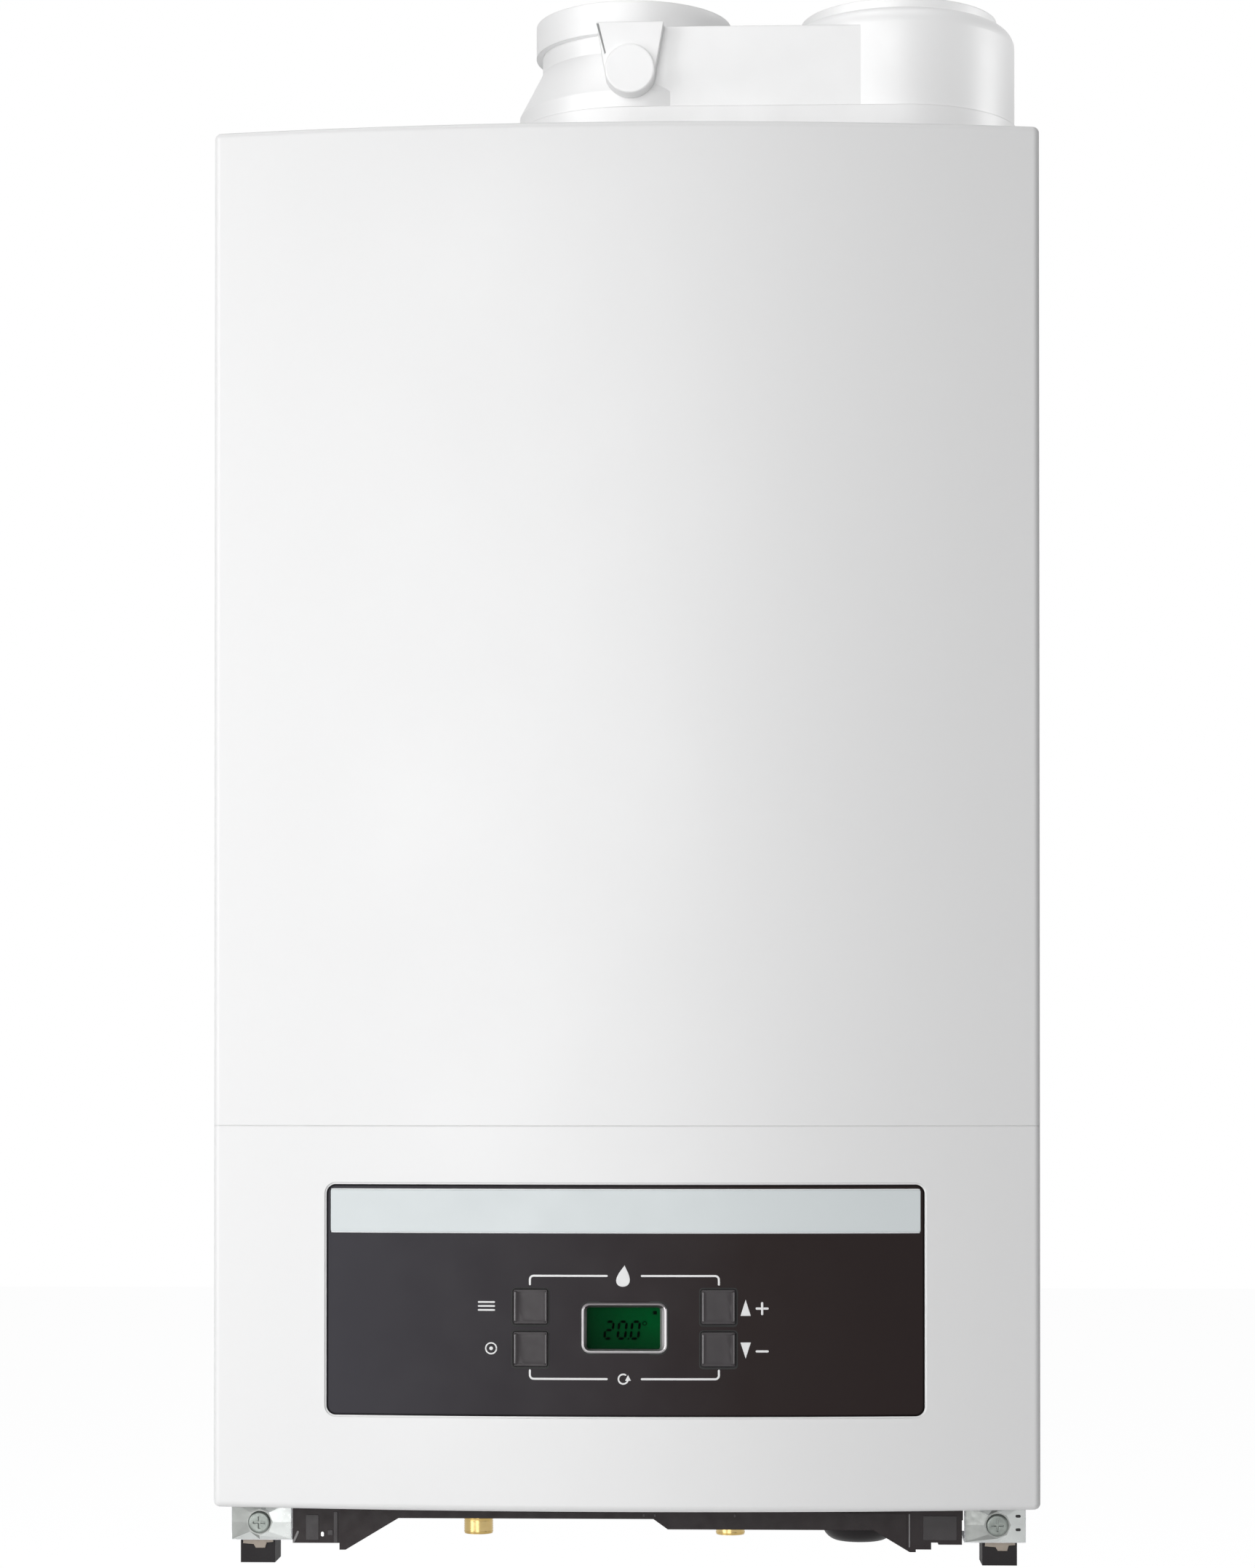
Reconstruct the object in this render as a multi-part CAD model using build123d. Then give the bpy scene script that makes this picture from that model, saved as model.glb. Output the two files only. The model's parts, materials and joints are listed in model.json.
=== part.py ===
"""Wall-hung combi boiler with parallel flue and air sockets.

Millimetres. X runs to the viewer's right, Y runs towards the wall and Z runs up. The origin lies on the
wall plane, on the boiler's centre line, level with the lower edge of the case.
"""
from build123d import *
import math
import os

# ---------------------------------------------------------------- case
CASE_W = 400
CASE_H = 668
CASE_D = 300
FRONT_BOW = 16  # how far the middle of the front stands ahead of its sides
SHEET = 1.2
EDGE_R = 3.5
END_R = 3.0
SEAM_Z = 185
SEAM_GAP = 0.3
COVER_RETURN = 27  # depth of the front covers' sides
SHELL_GAP = 0.4  # joint between the covers and the side panels
BACK_GAP = 14  # wall to back plate
BACK_PLATE_T = 1.5
FLANGE_W = 12
BOTTOM_FLANGE_W = 20
SEAL_W = 6
SEAL_T = 4
FIT = 0.3  # gap between curved pieces that belong to different bodies
RUNNING = 0.05  # radial clearance of a shaft or pin
NEST = 0.1  # radial gap between fixed pieces that are pushed together

# ---------------------------------------------------------------- wall side
BRACKET_W = 260
BRACKET_H = 70
BRACKET_T = 3
BRACKET_TOP_DROP = 45  # top of the hooks' seats below the top of the case
BOLT_SPACING = 200
BOLT_HOLE_R = 4.5
HOOK_X = 60
HOOK_W = 30
HOOK_UP = 17
SPACER_W = 300
SPACER_H = 30
SPACER_DROP = 8
SPACER_T = 2

# ---------------------------------------------------------------- control panel
WINDOW_W = 288
WINDOW_Z0 = 45.7
WINDOW_H = 111.2
WINDOW_R = 4.5
WINDOW_BEVEL = 0.8
WINDOW_BEVEL_DEPTH = 0.5
WINDOW_CLEAR = 0.8
FASCIA_RECESS = 1.0
FASCIA_T = 3.0
BOX_LAP = 4  # how far the control box reaches past the window, behind the cover
BOX_COVER_GAP = 1.8
BOX_WALL = 2.5
FASCIA_DEPTH = 20
STRIP_H = 21.4
STRIP_TOP_MARGIN = 1.2
STRIP_T = 0.8
BUTTON_SIZE = 16.4
BUTTON_R = 0.9
BUTTON_X = 45.1
BUTTON_PITCH = 20.3
BUTTON_ROW_Z = 88.25  # level midway between the two rows
BUTTON_PROUD = 0.7
BUTTON_CLEAR = 0.3
BUTTON_LIP = 1.6
BUTTON_TRAVEL = 1.5
STEM_R = 2.0
DISPLAY_W = 41.2
DISPLAY_H = 24.4
DISPLAY_R = 4.0
DISPLAY_RIM = 2.1
DISPLAY_PROUD = 0.4
BEZEL_LIP = 1.2
LCD_T = 3
BOX_REAR_BACK = 68  # box's rear wall behind the front
LENS_T = 1.5
PCB_T = 1.6
DISPLAY_BOARD_W = 130
DISPLAY_BOARD_H = 56
DISPLAY_BOARD_BACK = 20
BOARD_MARGIN_X = 19  # window's edge to the main board's edge
BOARD_MARGIN_Z = 9.6
MAIN_BOARD_OFF = 9  # board behind the box's rear wall
POST_R = 2.5
PIVOT_BACK = 50  # hinge pins behind the front
PIVOT_Z = 25
PIN_R = 3.0
LUG_R = 6.5
LUG_INSET = 12  # hinge lugs inside the window's sides
LUG_T = 8
EAR_GAP = 1.5
EAR_T = 4

# blocks on the main board: left edge and width, low edge and height from the board's corner, how far they
# stand up, and the pitch of a row
TRANSFORMER = (10, 37, 31, 35, 13, 0)
RELAY = (63, 18, 58, 16, 12, 24)
PLUG = (55, 24, 2, 12, 10, 32)
PROCESSOR = (175, 30, 31, 30, 2, 0)

# ---------------------------------------------------------------- underside
TRAY_INSET = 36  # tray inside the case's sides
TRAY_BACK = 38  # tray behind the front
TRAY_D = 82
TRAY_TOP = -3
TRAY_T = 4.7
GUSSET_T = 3
GUSSET_DROP = 23.3
GUSSET_TOP_W = 29
GUSSET_TIP_W = 3
GUSSET_INSET = 23  # gussets inside the tray's ends
END_WALL_D = 16
END_WALL_DROP = 20
RIB_X0 = 13
RIB_X1 = 93
RIB_SLOPE = 7
RIB_DROP = 12.7
RIB_D = 40
LIP_X1 = 128  # thin front lip, from the rib to the right gusset
LIP_T = 3
LATCH_D = 12
LATCH_W = 8.5
LATCH_DROP = 22
TAB_W = 11.5
TAB_DROP = 19.6
CORNER_INSET = 5  # corner brackets inside the case's sides
CORNER_W = 30
CORNER_T = 1.5
CORNER_DROP = 19.3
CORNER_BACK = 44
CORNER_SHELF_D = 56
CORNER_FOOT_D = 34
TONGUE_L = 15
FOOT_INSET = 17.5
FOOT_W = 17
FOOT_H = 11.7
FOOT_D = 22
SCREW_INSET = 19
SCREW_Z = -10.5
SCREW_HEAD_R = 5.5
SCREW_HEAD_T = 3.2
SCREW_R = 2.5
SCREW_L = 12
RECESS_L = 6  # cross recess of the screw heads
RECESS_W = 1
RECESS_D = 1.5
HEAD_ROUND = 1.2

# ---------------------------------------------------------------- flue adapter
FLUE_OFF = 150  # sockets' centre line off the wall
AIR_INSET = 62  # air socket inside the case's side
SOCKET_R = 40.3
RIM_R = 50.8
RIM_H = 15
RIM_WALL = 3  # the rim's outer skin, ahead of its groove
RIM_GROOVE_H = 8
ADAPTER_TOP = 73  # body's height above the case
ADAPTER_AIR_RISE = 10  # air tower above the rest of the body
ADAPTER_AIR_R = 60
ADAPTER_FLUE_R = 47.5
ADAPTER_BASE_R = 59.5
ADAPTER_BASE_H = 40  # top of the flared base above the case
ADAPTER_FLARE_H = 23
ADAPTER_LEDGE_H = 31
ADAPTER_LEDGE_R = 62
ADAPTER_FLANGE_H = 6
ADAPTER_SHOULDER = 9
WALL_RECESS = 4
GASKET_T = 2
SOCKET_DEPTH = 60
SEAL_GROOVE = 1.9
SEAL_H = 6
SEAL_DOWN = 6
SPIGOT_R = 38.5
SPIGOT_L = 14
DUCT_R = 38
DUCT_WALL = 2
DUCT_BEND = 60
BOSS_REACH = 65  # test point's face ahead of the sockets' centre line
BOSS_X = 0
BOSS_Z_UP = 48.4  # test point above the case
BOSS_TOP_W = 34
BOSS_LOW_W = 25.2
CAP_R = 12.6
CAP_T = 4
PLUG_R = 9
PLUG_L = 12
ADAPTER_SCREW_INSET = 14
ADAPTER_SCREW_BACK = 12
ADAPTER_SCREW_R = 2.5
ADAPTER_SCREW_L = 12

# ---------------------------------------------------------------- heat engine
FLOOR_UP = 1  # chamber floor above the seam
FLOOR_FLANGE = 14
SUMP_UP = 19  # sump above the chamber floor
SUMP_H = 35
SUMP_WALL = 3
SUMP_REAR_HALF_W = 46
SUMP_REAR_H = 24
SUMP_COLLAR_H = 22
DUCT_OFF = 75
HX_INSET_LEFT = 95
HX_INSET_RIGHT = 115
HX_BACK = 45  # heat exchanger behind the front
HX_OFF = 125  # heat exchanger off the wall
HX_H = 260
HX_WALL = 13
HX_R = 8
HX_FIN_COUNT = 8
HX_FIN_T = 9
FLOW_PORT_GAP = 15  # flow pipe clear of the flue duct
RETURN_PORT_OFF = 160
PORT_NECK = 12
RETURN_PORT_UP = 22
VENT_DOWN = 30
VENT_BOSS = 20
VENT_IN = 40
ARM_UP = 60
ARM_H = 140
ARM_T = 3
ARM_W = 18
ELECTRODE_DOWN = 22  # electrodes below the burner's face
ELECTRODE_LEFT = 24
ELECTRODE_HALF = 10
ELECTRODE_FLANGE_W = 62
ELECTRODE_FLANGE_H = 24
ELECTRODE_FLANGE_T = 3
ELECTRODE_FLANGE_R = 4
ELECTRODE_BODY_R = 3.2
ELECTRODE_OUT = 18
ELECTRODE_IN = 14
ELECTRODE_TIP_R = 1.2
CHAMBER_H = 90
BURNER_FLANGE_T = 2
BURNER_DROP = 30
BURNER_GAP = 7
HOOD_H = 38
HOOD_WALL = 4
FAN_INSET = 70
FAN_UP = 45  # fan's axis above the hood's top
FAN_R = 52
FAN_D = 50
FAN_BACK = 115  # fan's rear behind the front
FAN_WALL = 4
FAN_OUTLET_H = 32
FAN_OUTLET_X0 = 42
IMPELLER_R = 43
MOTOR_R = 30
MOTOR_L = 37
PLUG_BLOCK_W = 34
PLUG_BLOCK_D = 26
PLUG_BLOCK_H = 17
FAN_SHAFT_R = 3
FAN_INLET_R = 20
VENTURI_R = 28
VENTURI_L = 45
VALVE_W = 68
VALVE_INSET = 48
VALVE_BACK = 65
VALVE_D = 85
VALVE_H = 80
VALVE_DOWN = 60  # top of the gas valve below the top of the heat exchanger's hood
GAS_R = 8
GAS_BACK = 110
GAS_INSET = 50
GAS_CROSS_DOWN = 24  # gas pipe's level run below the chamber floor
VESSEL_INSET = 38
VESSEL_T = 60
VESSEL_BACK = 50
VESSEL_OFF = 40
VESSEL_UP = 48
VESSEL_H = 366
VESSEL_R = 26
VESSEL_WALL = 2
CRIMP = 4
CRIMP_T = 6
VESSEL_LUG = 20
VESSEL_LUG_IN = 80
HOSE_R = 6
VESSEL_PORT_OFF = 62
VESSEL_HOSE_OFF = 45
VESSEL_HOSE_IN = 26  # hose's port inside the return connection

# ---------------------------------------------------------------- hydraulics
STUB_OFF = 110
STUB_INSET_LEFT = 49
STUB_INSET_RIGHT = 83
PLATE_T = 2
PLATE_CLEAR = 14.5  # drain's centre ahead of the plate
NECK_R = 13.2
NECK_L = 9.2
NUT_R = 18
NUT_H = 7
TAIL_R = 7.5
TAIL_BORE = 6.3
WATER_TAIL = 34  # how far the sanitary water tails reach below the case
HEATING_TAIL = 15
HEATING_TAIL_R = 11
TOWER_R = 14.5
TOWER_FOOT_R = 18.5
TOWER_FOOT_H = 8
FLOW_MAIN_Z = 62
FLOW_MAIN_R = 18
FLOW_MAIN_INSET = 33
FLOW_IN_TOP = 128
FLOW_IN_SHIFT = 0.5
FLOW_BEND = 18
RETURN_MAIN_Z = 24
RETURN_MAIN_R = 12
DIVERTER_TOP = 112
DIVERTER_R = 10
DIVERTER_TRAVEL = 8
VALVE_STEM_R = 3
ACTUATOR_W = 43
ACTUATOR_D = 60
ACTUATOR_H = 53
PORT_R = 9
PORT_LOW_Z = 76
PORT_HIGH_Z = 110
PHE_MARGIN = 21
PHE_D = 50
PHE_BACK = 85
PHE_Z0 = 57
PHE_H = 72
PHE_R = 10
PUMP_INSET = 50
PUMP_Z = 80
PUMP_R = 40
VOLUTE_D = 42
PUMP_TRAP_GAP = 4.5  # pump motor behind the trap
PUMP_WALL = 4
PUMP_HEAD_L = 19
PUMP_IMPELLER_R = 29
PUMP_SHAFT_R = 4
PUMP_LEG_R = 12
PIPE_R = 9
PIPE_WALL = 1
PIPE_BEND = 20
PIPE_STEP = 18  # pipes from above come down this far behind the connections
SIPHON_SHIFT = 10
SIPHON_BACK = 90
SIPHON_R = 18.5
SIPHON_TOP = 128
SIPHON_HOLE = 21.5
CUP_BOTTOM = -24
CUP_TOP = -8
DRAIN_LEFT = 20  # drain to the left of the trap and behind it
DRAIN_BEHIND = 40
SPOUT_R = 7
SPOUT_L = 20
DRAIN_R = 8
DRAIN_Z = 95
DRAIN_END = -14
CONDENSATE_INSET = 25
CONDENSATE_R = 11
SPIGOT_SMALL_R = 8.9
SAFETY_R = 12
SAFETY_L = 15
SAFETY_STEM_L = 9
KNOB_R = 13
KNOB_L = 12
TURBINE_LOW = 46
TURBINE_H = 14
TURBINE_R = 9
TURBINE_SHAFT_R = 1.5

# ---------------------------------------------------------------- worked out
HALF_W = CASE_W / 2
BOW_R = (HALF_W**2 + FRONT_BOW**2) / (2 * FRONT_BOW)
CORNER_Y = -CASE_D + FRONT_BOW
COVER_REAR = CORNER_Y + COVER_RETURN
PANEL_FRONT = COVER_REAR + SHELL_GAP
INNER_X = HALF_W - SHEET
PIVOT_Y = -CASE_D + PIVOT_BACK
DISPLAY_BOARD_Y = -CASE_D + DISPLAY_BOARD_BACK
MAIN_BOARD_W = WINDOW_W - 2 * BOARD_MARGIN_X
MAIN_BOARD_H = WINDOW_H - 2 * BOARD_MARGIN_Z
LUG_X = WINDOW_W / 2 - LUG_INSET
TRAY_HALF_W = HALF_W - TRAY_INSET
TRAY_FRONT = -CASE_D + TRAY_BACK
TRAY_REAR = TRAY_FRONT + TRAY_D
CORNER_OUT = HALF_W - CORNER_INSET
CORNER_IN = CORNER_OUT - CORNER_W
CORNER_FRONT = -CASE_D + CORNER_BACK
TONGUE_X = CORNER_IN - TONGUE_L
FOOT_X = HALF_W - FOOT_INSET
SCREW_X = HALF_W - SCREW_INSET
FLUE_Y = -FLUE_OFF
AIR_X = HALF_W - AIR_INSET
BOSS_FACE_Y = FLUE_Y - BOSS_REACH
DUCT_Y = -DUCT_OFF
HX_X0 = -HALF_W + HX_INSET_LEFT
HX_X1 = HALF_W - HX_INSET_RIGHT
HX_FRONT = -CASE_D + HX_BACK
HX_REAR = -HX_OFF
FAN_X = HALF_W - FAN_INSET
FAN_REAR = -CASE_D + FAN_BACK
VALVE_X = HALF_W - VALVE_INSET
VALVE_FRONT = -CASE_D + VALVE_BACK
GAS_X = HALF_W - GAS_INSET
GAS_Y = -CASE_D + GAS_BACK
VESSEL_X = -HALF_W + VESSEL_INSET
VESSEL_FRONT = -CASE_D + VESSEL_BACK
VESSEL_REAR = -VESSEL_OFF
VESSEL_PORT_Y = -VESSEL_PORT_OFF
STUB_Y = -STUB_OFF
STUB_PITCH = (CASE_W - STUB_INSET_LEFT - STUB_INSET_RIGHT) / 4
STUB_X = [-HALF_W + STUB_INSET_LEFT + STUB_PITCH * place for place in range(5)]
VESSEL_HOSE_X = STUB_X[4] - VESSEL_HOSE_IN
VESSEL_HOSE_Y = -VESSEL_HOSE_OFF
FLOW_MAIN_X0 = -HALF_W + FLOW_MAIN_INSET
FLOW_IN_X = (STUB_X[0] + STUB_X[1]) / 2 + FLOW_IN_SHIFT
RETURN_PORT_Y = -RETURN_PORT_OFF
SIPHON_X = (STUB_X[3] + HALF_W) / 2 - SIPHON_SHIFT
SIPHON_Y = -CASE_D + SIPHON_BACK
DRAIN_X = SIPHON_X - DRAIN_LEFT
DRAIN_Y = SIPHON_Y + DRAIN_BEHIND
CONDENSATE_X = HX_X1 - CONDENSATE_INSET
PHE_FRONT = -CASE_D + PHE_BACK
PUMP_X = HALF_W - PUMP_INSET
PUMP_Y = (STUB_Y - VOLUTE_D / 2, STUB_Y + VOLUTE_D / 2)
PUMP_MOTOR_FRONT = SIPHON_Y + SIPHON_R + PUMP_TRAP_GAP
TURBINE_Z = (TURBINE_LOW, TURBINE_LOW + TURBINE_H)
BACK_FACE = -BACK_GAP - BACK_PLATE_T
FLOOR_Z = SEAM_Z + FLOOR_UP
FLOOR_TOP = FLOOR_Z + SHEET
SUMP_Z0 = FLOOR_Z + SUMP_UP
HX_Z0 = SUMP_Z0 + SUMP_H
HX_TOP = HX_Z0 + HX_H
HOOD_Z0 = HX_TOP + BURNER_FLANGE_T
HOOD_TOP = HOOD_Z0 + HOOD_H
FAN_Z = HOOD_TOP + FAN_UP
FAN_FRONT = FAN_REAR - FAN_D
VALVE_TOP = HOOD_TOP - VALVE_DOWN
VALVE_Z0 = VALVE_TOP - VALVE_H
GAS_CROSS_Z = FLOOR_Z - GAS_CROSS_DOWN
ADAPTER_Z0 = CASE_H + GASKET_T
ADAPTER_Z1 = CASE_H + ADAPTER_TOP
RIM_TOP = ADAPTER_Z1 + RIM_H
SOCKET_Z0 = RIM_TOP - SOCKET_DEPTH
SUMP_REAR_TOP = SUMP_Z0 + SUMP_REAR_H
PLATE_Z0 = SHEET
PLATE_TOP = PLATE_Z0 + PLATE_T
PHE_REAR = PHE_FRONT + PHE_D
PLATE_FRONT = DRAIN_Y + PLATE_CLEAR
WINDOW_Z1 = WINDOW_Z0 + WINDOW_H
WINDOW_MID = WINDOW_Z0 + WINDOW_H / 2
FASCIA_W = WINDOW_W - 2 * WINDOW_CLEAR
FASCIA_H = WINDOW_H - 2 * WINDOW_CLEAR
FASCIA_BACK = FASCIA_RECESS + FASCIA_T  # depth of the fascia's inner face
BOX_FLANGE = SHEET + BOX_COVER_GAP  # depth of the flange behind the cover
BOX_W = WINDOW_W + 2 * BOX_LAP
BOX_H = WINDOW_H + 2 * BOX_LAP
BOX_REAR = -CASE_D + BOX_REAR_BACK
BOX_SPLIT = -CASE_D + BOX_FLANGE + FASCIA_DEPTH + 5
BUTTON_LEVELS = [BUTTON_ROW_Z + BUTTON_PITCH / 2, BUTTON_ROW_Z - BUTTON_PITCH / 2]


# ---------------------------------------------------------------- shape helpers
def block(x, y, z):
    """Box between a pair of limits along each axis."""
    middle = ((x[0] + x[1]) / 2, (y[0] + y[1]) / 2, (z[0] + z[1]) / 2)
    return Pos(*middle) * Box(x[1] - x[0], y[1] - y[0], z[1] - z[0])


def rod(start, end, radius):
    """Round bar between two points."""
    axis = Vector(*end) - Vector(*start)
    place = Plane(origin=start, z_dir=axis)
    return place * Cylinder(radius, axis.length, align=(Align.CENTER, Align.CENTER, Align.MIN))


def tube(start, end, outer, inner):
    """Round tube between two points."""
    return rod(start, end, outer) - rod(start, end, inner)


def upright(x, y, z, radius):
    """Round bar along Z between two levels."""
    return rod((x, y, z[0]), (x, y, z[1]), radius)


def along_y(x, z, y, radius):
    """Round bar along Y between two depths."""
    return rod((x, y[0], z), (x, y[1], z), radius)


def along_x(y, z, x, radius):
    """Round bar along X between two stations."""
    return rod((x[0], y, z), (x[1], y, z), radius)


def bent_tube(points, bend, outer, inner):
    """Tube along straight runs joined by round bends."""
    path = FilletPolyline(*points, radius=bend)
    place = Plane(origin=path @ 0, z_dir=path % 0)
    return sweep(place * (Circle(outer) - Circle(inner)), path=path)


def front_prism(middle, size, corner, y):
    """Rounded rectangle seen from the front, about (x, z), run between two depths."""
    place = Plane(origin=(middle[0], y[0], middle[1]), x_dir=(1, 0, 0), z_dir=(0, 1, 0))
    return extrude(place * RectangleRounded(size[0], size[1], corner), y[1] - y[0])


def plan_prism(x, y, z, corner):
    """Rounded rectangle seen from above, run between two levels."""
    place = Plane(origin=((x[0] + x[1]) / 2, (y[0] + y[1]) / 2, z[0]))
    return extrude(place * RectangleRounded(x[1] - x[0], y[1] - y[0], corner), z[1] - z[0])


def side_outline(points, y):
    """Straight-sided outline in X and Z, run between two depths."""
    place = Plane(origin=(0, y[0], 0), x_dir=(1, 0, 0), z_dir=(0, -1, 0))
    face = make_face(Polyline(*points, close=True))
    return extrude(place * face, y[0] - y[1])


def hexagon(x, y, z, radius):
    """Six-sided bar along Z."""
    return extrude(Pos(x, y, z[0]) * RegularPolygon(radius, 6), z[1] - z[0])


# ---------------------------------------------------------------- bowed front
def bow_y(x, depth=0):
    """Y of the surface that lies `depth` behind the case's bowed front."""
    radius = BOW_R - depth
    return -CASE_D + BOW_R - math.sqrt(radius**2 - x**2)


def bow_arc(half_w, depth):
    return ThreePointArc(
        (-half_w, bow_y(half_w, depth)), (0, bow_y(0, depth)), (half_w, bow_y(half_w, depth))
    )


def bowed_prism(half_w, rear, z, depth):
    """Solid from a flat rear to the bowed surface."""
    side = bow_y(half_w, depth)
    frame = Polyline((-half_w, side), (-half_w, rear), (half_w, rear), (half_w, side))
    return extrude(Pos(0, 0, z[0]) * make_face(frame + bow_arc(half_w, depth)), z[1] - z[0])


def bowed_slab(half_w, z, near, far):
    """Curved slab between two depths behind the bowed front."""
    left = Line((-half_w, bow_y(half_w, near)), (-half_w, bow_y(half_w, far)))
    right = Line((half_w, bow_y(half_w, near)), (half_w, bow_y(half_w, far)))
    face = make_face(bow_arc(half_w, near) + bow_arc(half_w, far) + left + right)
    return extrude(Pos(0, 0, z[0]) * face, z[1] - z[0])


def inlay(middle, size, corner, near, far):
    """Piece of the bowed front with a rounded rectangle for outline."""
    slab = bowed_slab(HALF_W - EDGE_R, (0, CASE_H), near, far)
    return slab & front_prism(middle, size, corner, (-CASE_D - 10, BOX_REAR))


# ---------------------------------------------------------------- covers
def cover_shell(z, closed):
    """One front cover: bowed sheet with its sides and one closed end."""
    outer = bowed_prism(HALF_W, COVER_REAR, z, 0)
    outer = fillet(outer.edges().filter_by(Axis.Z).group_by(Axis.Y)[0], EDGE_R)
    shut = -1 if closed == "top" else 0
    edges = outer.faces().sort_by(Axis.Z)[shut].edges()
    rim = edges.filter_by(lambda edge: edge.center().Y < COVER_REAR - 0.1)
    outer = fillet(rim, END_R)
    z_in = (z[0] - 1, z[1] - SHEET) if closed == "top" else (z[0] + SHEET, z[1] + 1)
    inner = bowed_prism(HALF_W - SHEET, COVER_REAR + 1, z_in, SHEET)
    inner = fillet(inner.edges().filter_by(Axis.Z).group_by(Axis.Y)[0], EDGE_R - SHEET)
    return outer - inner


def front_cover_upper():
    return cover_shell((SEAM_Z + SEAM_GAP / 2, CASE_H), "top")


def front_cover_lower():
    shell = cover_shell((0, SEAM_Z - SEAM_GAP / 2), "bottom")
    middle = (0, WINDOW_MID)
    opening = front_prism(middle, (WINDOW_W, WINDOW_H), WINDOW_R, (-CASE_D - 5, COVER_REAR))
    bevel = inlay(
        middle,
        (WINDOW_W + 2 * WINDOW_BEVEL, WINDOW_H + 2 * WINDOW_BEVEL),
        WINDOW_R + WINDOW_BEVEL,
        -1,
        WINDOW_BEVEL_DEPTH,
    )
    return shell - opening - bevel


# ---------------------------------------------------------------- case
def case_wrap():
    """Sheet that goes up one side, over the top and down the other side."""
    y = (PANEL_FRONT, -BACK_GAP)
    low = -CASE_H
    outer = front_prism((0, (CASE_H + low) / 2), (CASE_W, CASE_H - low), EDGE_R, y)
    inner = front_prism(
        (0, (CASE_H + low) / 2), (CASE_W - 2 * SHEET, CASE_H - low - 2 * SHEET), EDGE_R - SHEET, y
    )
    return (outer - inner) & block((-CASE_W, CASE_W), y, (0, CASE_H + 1))


def side_panel(side):
    """Side of the case with its flanges; side is -1 for left and 1 for right."""
    x = sorted((side * HALF_W, side * (INNER_X - FLANGE_W)))
    flange_x = sorted((side * INNER_X, side * (INNER_X - FLANGE_W)))
    bottom_x = sorted((side * INNER_X, side * (INNER_X - BOTTOM_FLANGE_W)))
    sheet = case_wrap() & block(x, (PANEL_FRONT, -BACK_GAP), (0, CASE_H))
    front = block(flange_x, (PANEL_FRONT, PANEL_FRONT + SHEET), (0, CASE_H - SHEET))
    bottom = block(bottom_x, (PANEL_FRONT, BACK_FACE), (0, SHEET))
    return sheet + front + bottom


def top_panel():
    half = INNER_X - FLANGE_W
    sheet = case_wrap() & block((-half, half), (PANEL_FRONT, -BACK_GAP), (0, CASE_H))
    lip = (CASE_H - SHEET - FLANGE_W, CASE_H - SHEET)
    sheet += block((-half, half), (PANEL_FRONT, PANEL_FRONT + SHEET), lip)
    hole = (CASE_H - 5, CASE_H + 5)
    sheet -= upright(0, FLUE_Y, hole, DUCT_R + 1)
    sheet -= upright(AIR_X, FLUE_Y, hole, SPIGOT_R + NEST)
    for x, y in adapter_screw_places():
        sheet -= upright(x, y, hole, ADAPTER_SCREW_R + NEST)
    return sheet


def floor_passages():
    """Place and radius of each pipe that passes through the chamber floor."""
    return [
        (flow_port_x(), STUB_Y + PIPE_STEP, PIPE_R),
        (PUMP_X, STUB_Y, PIPE_R),
        (GAS_X, GAS_Y, GAS_R),
        (VESSEL_X, VESSEL_PORT_Y, HOSE_R),
        (CONDENSATE_X, SIPHON_Y, CONDENSATE_R),
    ]


def chamber_floor():
    """Floor of the sealed chamber, above the hydraulics."""
    sheet = block((-INNER_X, INNER_X), (PANEL_FRONT + SHEET, BACK_FACE), (FLOOR_Z, FLOOR_TOP))
    half = INNER_X - FLANGE_W
    flange_z = (FLOOR_TOP - FLOOR_FLANGE, FLOOR_TOP)
    sheet += block((-half, half), (PANEL_FRONT, PANEL_FRONT + SHEET), flange_z)
    for x, y, radius in floor_passages():
        sheet -= upright(x, y, (FLOOR_Z - 1, FLOOR_TOP + 1), radius + 3)
    return sheet


def floor_grommets():
    """Rubber rings that seal the pipes in the chamber floor."""
    rings = []
    for x, y, radius in floor_passages():
        ring = upright(x, y, (FLOOR_Z - 2.5, FLOOR_Z), radius + 5)
        ring += upright(x, y, (FLOOR_TOP, FLOOR_TOP + 2.5), radius + 5)
        ring += upright(x, y, (FLOOR_Z, FLOOR_TOP), radius + 3 - NEST)
        ring -= upright(x, y, (FLOOR_Z - 5, FLOOR_TOP + 5), radius + NEST)
        rings.append(ring)
    return rings


def chamber_foam():
    """Foam frame on the flanges that the upper cover presses on."""
    outer = INNER_X - 2
    inner = outer - SEAL_W
    top = CASE_H - SHEET - 2
    low = FLOOR_TOP - 2
    y = (PANEL_FRONT - SEAL_T, PANEL_FRONT)
    frame = block((-outer, outer), y, (low - SEAL_W, top))
    return frame - block((-inner, inner), (y[0] - 1, y[1] + 1), (low, top - SEAL_W))


def chamber_seals():
    return Compound([chamber_foam(), *floor_grommets()])


def back_frame():
    """Back plate with windows for the wall hooks, the wall channel and the heat exchanger's arms."""
    y = (BACK_FACE, -BACK_GAP)
    plate = block((-INNER_X, INNER_X), y, (-SPACER_DROP, CASE_H - SHEET))
    plate = fillet(plate.edges().filter_by(Axis.Y).group_by(Axis.Z)[-1], EDGE_R - SHEET)
    for side in (-1, 1):
        x = sorted((side * (INNER_X - BOTTOM_FLANGE_W - 2), side * (INNER_X + 1)))
        plate -= block(x, (y[0] - 1, y[1] + 1), (-SPACER_DROP - 1, 0))
        middle = side * HOOK_X
        window = (middle - HOOK_W / 2 - 2, middle + HOOK_W / 2 + 2)
        plate -= block(window, (y[0] - 1, y[1] + 1), (hook_seat() - 2 * HOOK_UP, hook_seat()))
    for arm in exchanger_arms():
        plate += arm
    return plate + wall_channel()


def hook_seat():
    """Level where the back plate hangs on the hooks."""
    return CASE_H - BRACKET_TOP_DROP


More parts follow.
